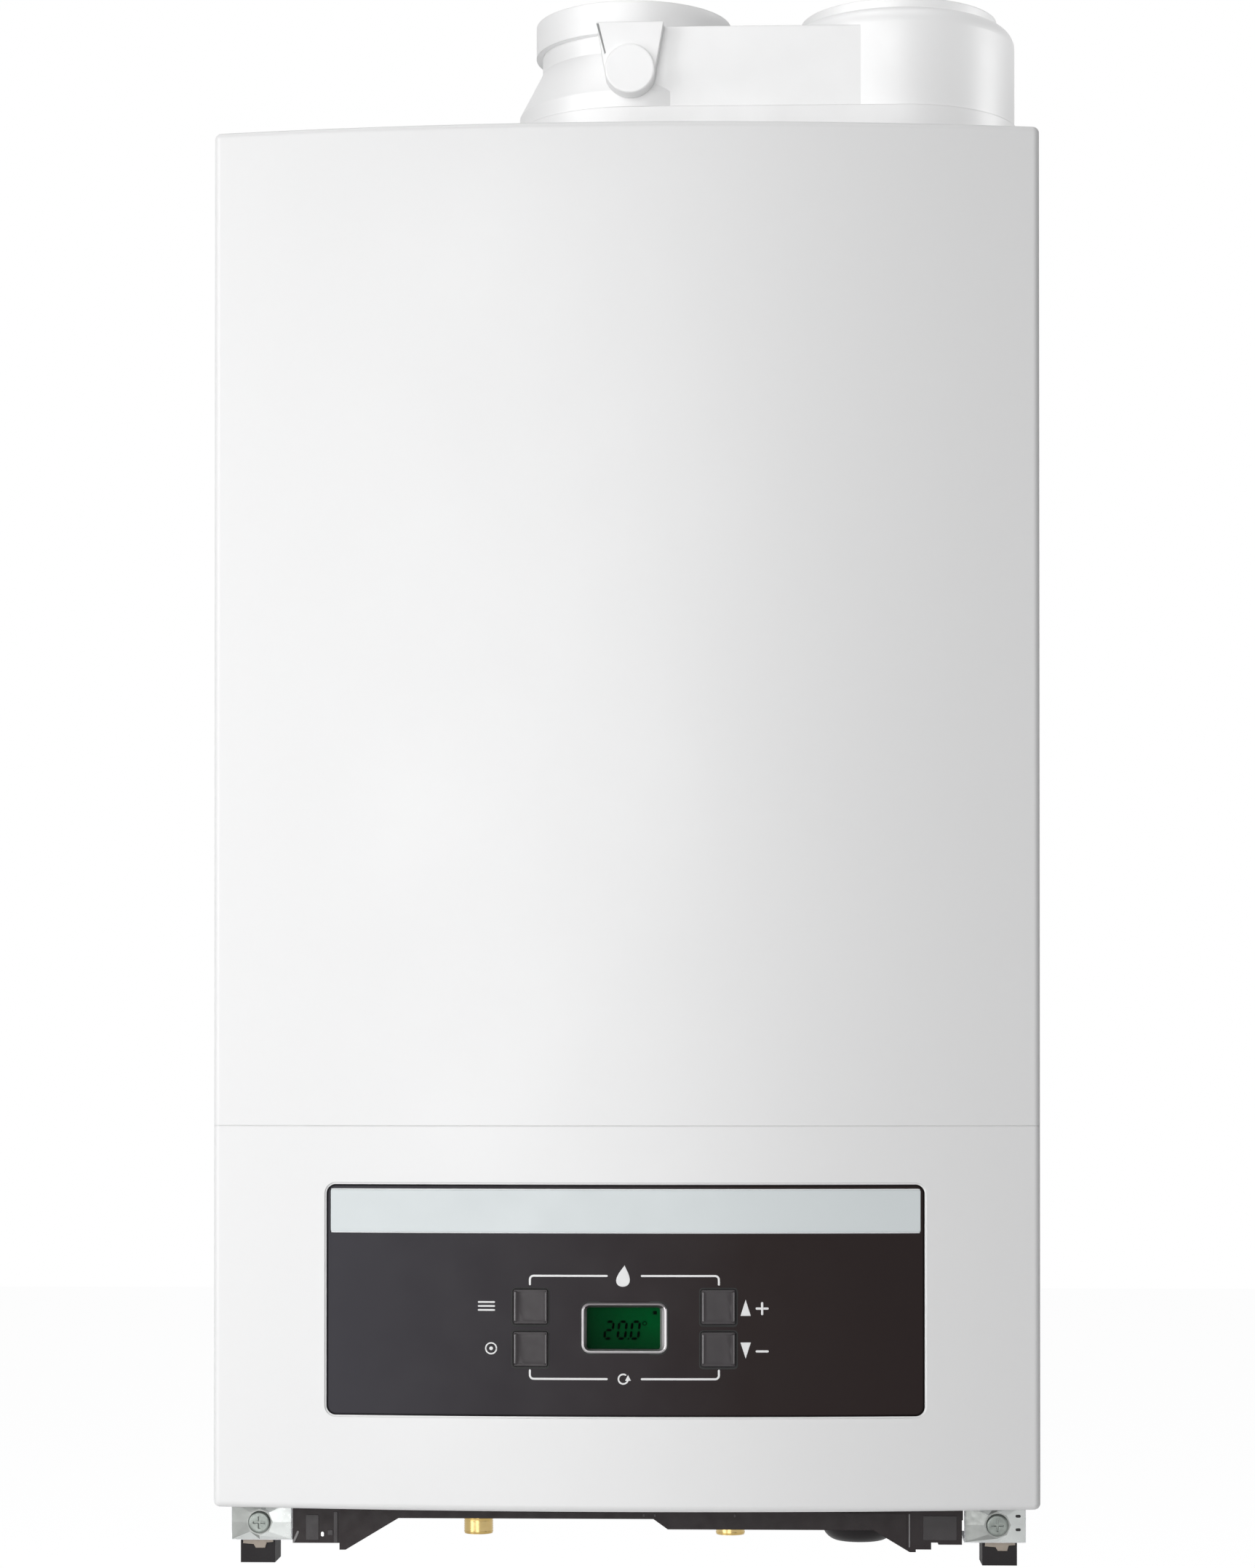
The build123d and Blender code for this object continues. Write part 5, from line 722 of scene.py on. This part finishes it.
def display_frame():
    """Crowned frame of the display, with a wider inner slope at the right, and painted shade: darker silver
    on its lower, left and top faces.
    """
    surface, crest, deep = -298.9 * MM, -299.75 * MM, lcd_front + 0.04 * MM
    inner = moved(rounded_box(35.1 * MM, 19.8 * MM, 1.2 * MM), -0.45 * MM, DISPLAY_Z - 0.2 * MM)
    steps = [
        (41.2, 24.4, 4.0, surface), (41.0, 24.2, 3.9, crest + 0.3 * MM), (39.8, 23.0, 3.4, crest),
        (38.8, 22.0, 3.0, crest)
    ]
    loops = [(moved(rounded_box(w * MM, h * MM, r * MM), 0, DISPLAY_Z), y) for w, h, r, y in steps]
    loops += [(inner, deep - 0.5 * MM), (inner, deep), (loops[0][0], deep)]
    bm = bmesh.new()
    rings = [[bm.verts.new((x, y, z)) for x, z in outline] for outline, y in loops]
    close_rings(bm, rings)
    frame_piece = add_piece("display_frame", bm, "silver_trim", "control_box")
    # Painted shade: lower and left faces in half-shaded silver, top faces in shaded silver.
    paint_faces(
        frame_piece, silver_painted_half_shade, lambda f: f.center.z < DISPLAY_Z - 10.2 * MM or f.center.x < -18.3 * MM
    )
    paint_faces(frame_piece, silver_painted_shade, lambda f: f.center.z > DISPLAY_Z + 9.7 * MM)
    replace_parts(frame_piece, "display_bezel")


def display_window():
    """Clear plate over the display, a little ahead of the glass."""
    lo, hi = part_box("display_lens")
    outline = moved(rounded_box(hi[0] - lo[0] - 0.2 * MM, hi[2] - lo[2] - 0.2 * MM, 1.6 * MM), 0, DISPLAY_Z)
    bm = bmesh.new()
    thick = (hi[1] - lo[1]) / 2
    add_mark(bm, outline, plane_at(lo[1] + 0.05 * MM), 0.0, thick)
    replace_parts(add_piece("display_window", bm, "clear_window", "control_box"), "display_lens")


def panel_gap_shadows():
    """Black rings round the keys and the display's frame: painted shadow in the gaps round them."""
    bm = bmesh.new()
    for x in (-KEY_X, KEY_X):
        for z in KEY_Z:
            outer = moved(rounded_box(KEY_SIZE + 2.2 * MM, KEY_SIZE + 2.4 * MM, 2 * MM), x, z - 0.2 * MM)
            inner = moved(rounded_box(KEY_SIZE + 0.5 * MM, KEY_SIZE + 0.5 * MM, 1.2 * MM), x, z)
            add_frame(bm, outer, inner, fascia_y, 0.04 * MM)
    outer = moved(rounded_box(42.6 * MM, 25.8 * MM, 4.6 * MM), 0, DISPLAY_Z)
    inner = moved(rounded_box(41.0 * MM, 24.2 * MM, 3.9 * MM), 0, DISPLAY_Z)
    add_frame(bm, outer, inner, fascia_y, 0.04 * MM)
    # Painted shadow: flat black rings where the gaps round the keys and the frame are shaded.
    add_piece("panel_gap_shadows", bm, "rubber_black", "control_box")


def strip_edges():
    """Polished edges along the top and the bottom of the pale strip, whiter than the strip: painted
    highlights.
    """
    lo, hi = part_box("fascia_strip")
    half = hi[0] - 0.6 * MM
    bm = bmesh.new()
    for z in (lo[2] + 0.35 * MM, hi[2] - 0.35 * MM):
        add_ribbon(bm, line((-half, z), (half, z), 6 * MM), 0.5 * MM, lambda x: bow_y(x, 0.2 * MM), 0.1 * MM)
    add_piece("strip_edges", bm, "silver_trim", "control_box", material=strip_edge_painted_highlight)


CASE_HALF_W = 200 * MM
COVER_EDGE_R = 3.5 * MM
COVER_REAR = -257 * MM
SEAM_Z = 185 * MM
SEAM_GAP = 0.3 * MM


BOW_STEPS = 30


def cover_contour(depth):
    """Points round the front covers' outside at that depth in the sheet, from the left side to the right."""
    flat = BOW_R + APEX_Y
    turn_x = CASE_HALF_W - COVER_EDGE_R
    turn_y = flat - math.sqrt((BOW_R - COVER_EDGE_R) ** 2 - turn_x**2)
    lean = math.degrees(math.asin(turn_x / (BOW_R - COVER_EDGE_R)))
    corner = arc((turn_x, turn_y), COVER_EDGE_R - depth, 0, -90 + lean)
    bow_x = corner[-1][0]
    half = [(CASE_HALF_W - depth, COVER_REAR)] + corner
    across = [bow_x * (1 - k / BOW_STEPS) for k in range(1, BOW_STEPS)]
    middle = [(x, bow_y(x, depth)) for x in across]
    right = half + middle + [(0, bow_y(0, depth))]
    return [(-x, y) for x, y in right[:-1]] + right[::-1]


def cover_joint():
    """Lip that closes the seam between the upper and the lower front cover, just behind their surface."""
    bm = bmesh.new()
    half = SEAM_GAP / 2 + 0.02 * MM
    loops = []
    near, far = 0.04 * MM, 1 * MM
    top, low = SEAM_Z + half, SEAM_Z - half
    for depth, z in ((near, top), (near, low), (far, low), (far, top)):
        loops.append([bm.verts.new((x, y, z)) for x, y in cover_contour(depth)])
    for a in range(4):
        first, second = loops[a], loops[(a + 1) % 4]
        for k in range(len(first) - 1):
            bm.faces.new((first[k], first[k + 1], second[k + 1], second[k]))
    for end in (0, -1):
        bm.faces.new([loop[end] for loop in loops])
    add_piece("cover_joint", bm, "white_enamel", "front_cover")


def key_cap(name, body, x0, z0):
    """Key's face: a shallow dish between two raised side edges, with soft ends."""
    half, edge, rise = KEY_SIZE / 2 - 0.15 * MM, 1.5 * MM, 0.42 * MM
    columns, rows = 24, 12
    across = [-half + 2 * half * k / columns for k in range(columns + 1)]
    up = [-half + 2 * half * k / rows for k in range(rows + 1)]

    def face_y(x, z):
        inset = half - abs(x)
        lift = rise * math.sin(math.pi * min(inset / edge, 1)) if inset < edge else 0
        end = min((half - abs(z)) / (1.2 * MM), 1)
        soft = min(inset / (0.5 * MM), 1)
        plate = bow_y(x0 + x, KEY_DEPTH) - 0.06 * MM
        return plate - lift * end + 0.25 * MM * (1 - end) ** 2 + 0.2 * MM * (1 - soft) ** 2

    bm = bmesh.new()
    grid = [[bm.verts.new((x0 + x, face_y(x, z), z0 + z)) for x in across] for z in up]
    for low, high in zip(grid, grid[1:]):
        for a in range(len(across) - 1):
            bm.faces.new((low[a], low[a + 1], high[a + 1], high[a]))
    rim = grid[0] + [row[-1] for row in grid[1:]] + grid[-1][-2::-1] + [row[0] for row in grid[-2:0:-1]]
    back = [bm.verts.new((v.co.x, bow_y(x0, KEY_DEPTH) + 0.3 * MM, v.co.z)) for v in rim]
    close_band(bm, rim, back)
    bm.faces.new(back)
    add_piece(name, bm, "key_plastic", body, smooth=True)


def key_crest(x):
    """Top of the raised side edges of the keys."""
    return bow_y(x, KEY_DEPTH) - 0.46 * MM


def keys():
    """Face and two painted highlight lines of each key, on the key's own body: a lighter line along the left
    edge, a dimmer one along the right.
    """
    places = {
        "menu_key": (-KEY_X, KEY_Z[0]),
        "info_key": (-KEY_X, KEY_Z[1]),
        "plus_key": (KEY_X, KEY_Z[0]),
        "minus_key": (KEY_X, KEY_Z[1]),
    }
    for body, (x, z) in places.items():
        key_cap(body + "_cap", body, x, z)
        # Painted highlights along the keys' raised side edges, brighter on the left where the light falls.
        for side, shade in ((-1, key_edge_painted_highlight), (1, dim_painted_highlight)):
            across = x + side * (KEY_SIZE / 2 - 0.8 * MM)
            bm = bmesh.new()
            crest = line((across, z - 6.6 * MM), (across, z + 6.8 * MM))
            add_ribbon(bm, crest, 0.4 * MM, key_crest, 0.04 * MM)
            name = body + ("_edge_left" if side < 0 else "_edge_right")
            add_piece(name, bm, "key_plastic", body, material=shade)


# ---------------------------------------------------------------- corner brackets and feet
SCREW_PLACE = (181 * MM, -10.5 * MM)
BRACKET_X = (165 * MM, 195 * MM)
BRACKET_FRONT = -256 * MM


def bracket_face(side, name):
    """Pressed star around the screw on a corner bracket: four slopes up to a flat seat, with painted
    reflection and shade: the left-facing slopes and the seat are darker, the others lighter.
    """
    x0, z0 = SCREW_PLACE
    seat_r, rise, skin = 6.6 * MM, 1.6 * MM, 0.12 * MM
    low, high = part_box(name)[0][2] + 0.3 * MM, -0.4 * MM
    inner, outer = BRACKET_X[0] + 0.4 * MM, BRACKET_X[1] - 0.3 * MM
    corners = [
        (outer, z0), (outer, high), (x0, high), (inner, high), (inner, z0), (inner, low), (x0, low),
        (outer, low)
    ]
    star = {0: rise * 0.55, 2: rise * 0.3, 4: rise * 0.55, 6: rise * 0.3}
    bm = bmesh.new()
    rim = []
    for k, (x, z) in enumerate(corners):
        rim.append(bm.verts.new((side * x, BRACKET_FRONT - skin - star.get(k, 0) * 0.4, z)))
    seat = []
    for k in range(8):
        turn = math.radians(45 * k)
        x, z = x0 + seat_r * math.cos(turn), z0 + seat_r * math.sin(turn)
        seat.append(bm.verts.new((side * x, BRACKET_FRONT - rise, z)))
    back = [bm.verts.new((side * x, BRACKET_FRONT + 0.2 * MM, z)) for x, z in corners]
    for k in range(8):
        after = (k + 1) % 8
        bm.faces.new((rim[k], rim[after], seat[after]))
        bm.faces.new((rim[k], seat[after], seat[k]))
    bm.faces.new(seat)
    close_band(bm, rim, back)
    bm.faces.new(back)
    face = add_piece(name + "_face", bm, "galvanised_sheet", "boiler", material=zinc_painted_lit)
    # Painted shade: the left-facing slopes and the seat under the screw head in shaded zinc, the others in
    # lit zinc.
    paint_faces(face, zinc_painted_shade, lambda f: f.normal.x < -0.04 or len(f.vertices) > 4)


def bracket_slots():
    """Two small slots at the outer end of the right bracket, drawn as black marks: painted shade of the
    holes.
    """
    bm = bmesh.new()
    for z in (-6.2 * MM, -12.8 * MM):
        mark = moved(rounded_box(2.4 * MM, 1.3 * MM, 0.5 * MM, 3), 191.2 * MM, z)
        add_mark(bm, mark, plane_at(BRACKET_FRONT - 1.2 * MM), 0.1 * MM, 1.1 * MM)
    # Painted shade: black marks stand for the dark inside of the slots.
    add_piece("bracket_slots", bm, "rubber_black", "boiler")


def foot_clips():
    """Bent metal clip over the top of each foot."""
    lo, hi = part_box("corner_feet")
    foot_w, top, front = 17 * MM, hi[2], lo[1]
    for side, name in ((-1, "foot_clip_left"), (1, "foot_clip_right")):
        x0 = side * (hi[0] - foot_w / 2)
        outline = [
            (x0 - 7.2 * MM, top), (x0 - 7.2 * MM, top - 2.2 * MM), (x0 - 2 * MM, top - 2.6 * MM),
            (x0 - 1 * MM, top - 4.4 * MM), (x0 + 3.6 * MM, top - 4.4 * MM), (x0 + 4.4 * MM, top - 1.8 * MM),
            (x0 + 7.6 * MM, top - 1.5 * MM), (x0 + 7.6 * MM, top),
        ]
        bm = bmesh.new()
        add_mark(bm, outline, plane_at(front - 0.1 * MM), 0.7 * MM, 1.2 * MM)
        add_piece(name, bm, "plate_steel", "boiler", material=clip_beige)


def tray_moulding():
    """Ribs, pads and clips moulded on the tray's front, with a painted sheen on the pads and painted
    highlights on the ribs.
    """
    face = plane_at(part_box("bottom_tray")[0][1])

    def block(bm, x0, x1, z0, z1, proud):
        box = rounded_box((x1 - x0) * MM, (z1 - z0) * MM, 0.3 * MM, 2)
        add_mark(bm, moved(box, (x0 + x1) / 2 * MM, (z0 + z1) / 2 * MM), face, proud * MM)

    bm = bmesh.new()
    block(bm, -143.8, -141.9, -19.8, -4.6, 0.5)
    block(bm, -157.5, -151.2, -18.6, -6.2, 0.3)
    block(bm, -146.8, -144.2, -16.2, -13.6, 0.4)
    block(bm, 144.6, 161.0, -17.4, -5.6, 0.3)
    for x in (8.3, 13.7, 52.8, 130.1):
        block(bm, x - 0.5, x + 0.5, -6.6, -5.2, 0.25)
    # Painted sheen: the pads are lighter than the tray's plastic.
    add_piece("tray_pads", bm, "black_plastic", "boiler", material=tray_painted_sheen)
    bm = bmesh.new()
    add_ribbon(bm, line((137.9 * MM, -5.0 * MM), (137.9 * MM, -20.6 * MM)), 0.7 * MM, face, 0.55 * MM)
    add_ribbon(bm, line((-163.4 * MM, -19.2 * MM), (-161.4 * MM, -14.6 * MM)), 1.1 * MM, face, 0.4 * MM)
    # Painted highlights: the ribs in a pale grey.
    add_piece("tray_ribs", bm, "black_plastic", "boiler", material=dim_painted_highlight)
    bm = bmesh.new()
    gusset = ((104.2, -4.4), (136.6, -4.4), (136.6, -21.2), (108.0, -6.2))
    add_mark(bm, [(x * MM, z * MM) for x, z in gusset], face, 0.3 * MM)
    add_piece("tray_gusset_face", bm, "black_plastic", "boiler")
    bm = bmesh.new()
    add_mark(bm, moved(rounded_box(1.5 * MM, 2.4 * MM, 0.7 * MM, 4), -149.3 * MM, -15.6 * MM), face, 0.6 * MM)
    add_piece("tray_pin", bm, "steel_pin", "boiler")


def boss_edge_painted_shadow():
    """Narrow grey line along the left edge of the test point's boss: painted shadow of the edge."""
    bm = bmesh.new()
    outline = [(x * MM, z * MM) for x, z in ((-17.0, 740.2), (-15.8, 740.2), (-12.2, 725.4), (-12.75, 724.6))]
    add_mark(bm, outline, plane_at(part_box("flue_adapter")[0][1]), 0.06 * MM)
    add_piece("boss_edge_painted_shadow", bm, "white_plastic", "boiler", material=crease_painted_shadow)


# ---------------------------------------------------------------- turned parts
def add_lathe(bm, place, axis, profile, steps=40, hollow=False):
    """Turned body of (radius, along) points about an axis through place; a hollow one closes on itself."""
    turn = Vector((0, 0, 1)).rotation_difference(Vector(axis)).to_matrix().to_4x4()
    frame_of = Matrix.Translation(place) @ turn
    rings = []
    for radius, along in profile:
        ring = []
        for k in range(steps):
            angle = 2 * math.pi * k / steps
            point = Vector((radius * math.cos(angle), radius * math.sin(angle), along))
            ring.append(bm.verts.new(frame_of @ point))
        rings.append(ring)
    for first, second in zip(rings, rings[1:]):
        close_band(bm, first, second)
    if hollow:
        close_band(bm, rings[-1], rings[0])
    else:
        bm.faces.new(rings[0])
        bm.faces.new(rings[-1])


THREAD_TURNS = 5


def tail_sleeves():
    """Turned and threaded sleeves on the connection tails."""
    pins = [m for m in frame["record"]["mounts"] if m["kind"] == "pin" and m["name"] != "condensate_out"]
    bm = bmesh.new()
    for pin in pins:
        x, y, z = pin["pos_m"]
        radius = pin["dims"]["r_mm"] * MM
        length = min(pin["dims"]["length_mm"], 9.5) * MM
        tip = z - pin["dims"]["length_mm"] * MM / 2
        profile = [(radius - 1.0 * MM, -0.02 * MM), (radius - 0.2 * MM, 0.0), (radius + 0.2 * MM, 0.6 * MM)]
        for k in range(THREAD_TURNS):
            start = (1.2 + k * 1.25) * MM
            profile += [(radius + 0.32 * MM, start), (radius + 0.02 * MM, start + 0.62 * MM)]
        profile += [
            (radius + 0.4 * MM, length - 1.5 * MM), (radius + 0.4 * MM, length - 0.3 * MM),
            (radius - 0.3 * MM, length)
        ]
        add_lathe(bm, (x, y, tip + 0.05 * MM), (0, 0, 1), profile, hollow=True)
    add_piece("tail_sleeves", bm, "brass_fitting", "boiler", smooth=True)


def add_head(bm, place, axis, radius, height, steps=6):
    """Screw head: hexagonal or round, chamfered, on a round washer."""
    for sides, profile in (
        (24, [(radius * 1.35, -0.3 * MM), (radius * 1.35, 0.5 * MM), (radius * 1.2, 0.8 * MM)]),
        (steps, [(radius, 0.7 * MM), (radius, height * 0.75), (radius * 0.84, height)]),
    ):
        add_lathe(bm, place, axis, profile, sides)


EXCHANGER_SEAT = -255 * MM  # y where the exchanger's ribs and screws stand
VALVE_FAN_SEAT = -235 * MM  # y where the screws of the gas valve and of the fan stand
FAN_AXIS = (130, 585)  # mm, x and z
FAN_BOLT_RING = 47.5
AHEAD = (0, -1, 0)


def casting_ribs():
    """Cast ribs down and across the front of the heat exchanger."""
    front = plane_at(EXCHANGER_SEAT)
    bm = bmesh.new()
    for k in range(10):
        x = (-90 + k * 17.5) * MM
        outline = moved(rounded_box(4 * MM, 170 * MM, 1.9 * MM), x, 340 * MM)
        add_mark(bm, outline, front, 1.5 * MM, 1 * MM)
    for z in (268 * MM, 330 * MM, 412 * MM):
        outline = moved(rounded_box(162 * MM, 3.6 * MM, 1.7 * MM), -11 * MM, z)
        add_mark(bm, outline, front, 1.2 * MM, 1 * MM)
    add_piece("casting_ribs", bm, "cast_aluminium", "boiler")


def inner_fasteners():
    """Screws that close the exchanger, the fan and the gas valve."""
    bm = bmesh.new()
    for x in (-94, -34, 14, 74):
        for z in (247, 492):
            add_head(bm, (x * MM, EXCHANGER_SEAT, z * MM), AHEAD, 3.6 * MM, 3.6 * MM)
    for x in (123.5, 180.5):
        for z in (405.5, 474.5):
            add_head(bm, (x * MM, VALVE_FAN_SEAT, z * MM), AHEAD, 2 * MM, 2.2 * MM, 16)
    for k in range(6):
        turn = math.radians(30 + 60 * k)
        x, z = FAN_AXIS[0] + FAN_BOLT_RING * math.cos(turn), FAN_AXIS[1] + FAN_BOLT_RING * math.sin(turn)
        add_head(bm, (x * MM, VALVE_FAN_SEAT, z * MM), AHEAD, 2.2 * MM, 2.4 * MM, 16)
    add_piece("inner_fasteners", bm, "zinc_screw", "boiler")


def pump_badge():
    """Bare round cover on the pump motor's end, with a round vent plug."""
    lo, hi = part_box("pump_motor")
    centre = ((lo[0] + hi[0]) / 2, lo[1], (lo[2] + hi[2]) / 2)
    bm = bmesh.new()
    disc = [(21, -0.3), (21, 0.5), (20, 0.9), (8, 0.9), (8, -0.3)]
    plug = [(7, -0.3), (7, 2.2), (6, 2.8), (3, 2.8), (3, 1.6)]
    for profile, hollow in ((disc, True), (plug, False)):
        add_lathe(bm, centre, AHEAD, [(r * MM, along * MM) for r, along in profile], hollow=hollow)
    add_piece("pump_badge", bm, "plate_steel", "boiler")


panel_lines()
flame_icon()
turn_icon()
key_icons()
display_digits()
display_frame()
display_window()
panel_gap_shadows()
strip_edges()
cover_joint()
keys()
bracket_face(-1, "corner_bracket_left")
bracket_face(1, "corner_bracket_right")
bracket_slots()
foot_clips()
tray_moulding()
boss_edge_painted_shadow()
tail_sleeves()
casting_ribs()
inner_fasteners()
pump_badge()

make_camera()
make_world()
make_floor()
area_light("near_strip", (-0.95, -1.35, 0.5), FRONT_AIM, (0.5, 1.9), NEAR_POWER)
area_light("side_panel_light", (-1.75, -1.5, 0.5), FRONT_AIM, (0.8, 1.9), SIDE_POWER)
area_light("softbox", (-0.43, -2.9, 0.5), FRONT_AIM, (1.23, 1.9), SOFTBOX_POWER)
kicker = area_light("kicker", (0.66, -0.17, 0.75), (0.15, -0.16, 0.77), (0.1, 0.1), KICKER_POWER)
kicker.data.spread = math.radians(40)
area_light("overhead", (-0.2, -0.4, 2.3), (0, -0.2, 0.4), (1.6, 1.2), OVERHEAD_POWER)

bpy.context.scene.view_settings.view_transform = "Standard"
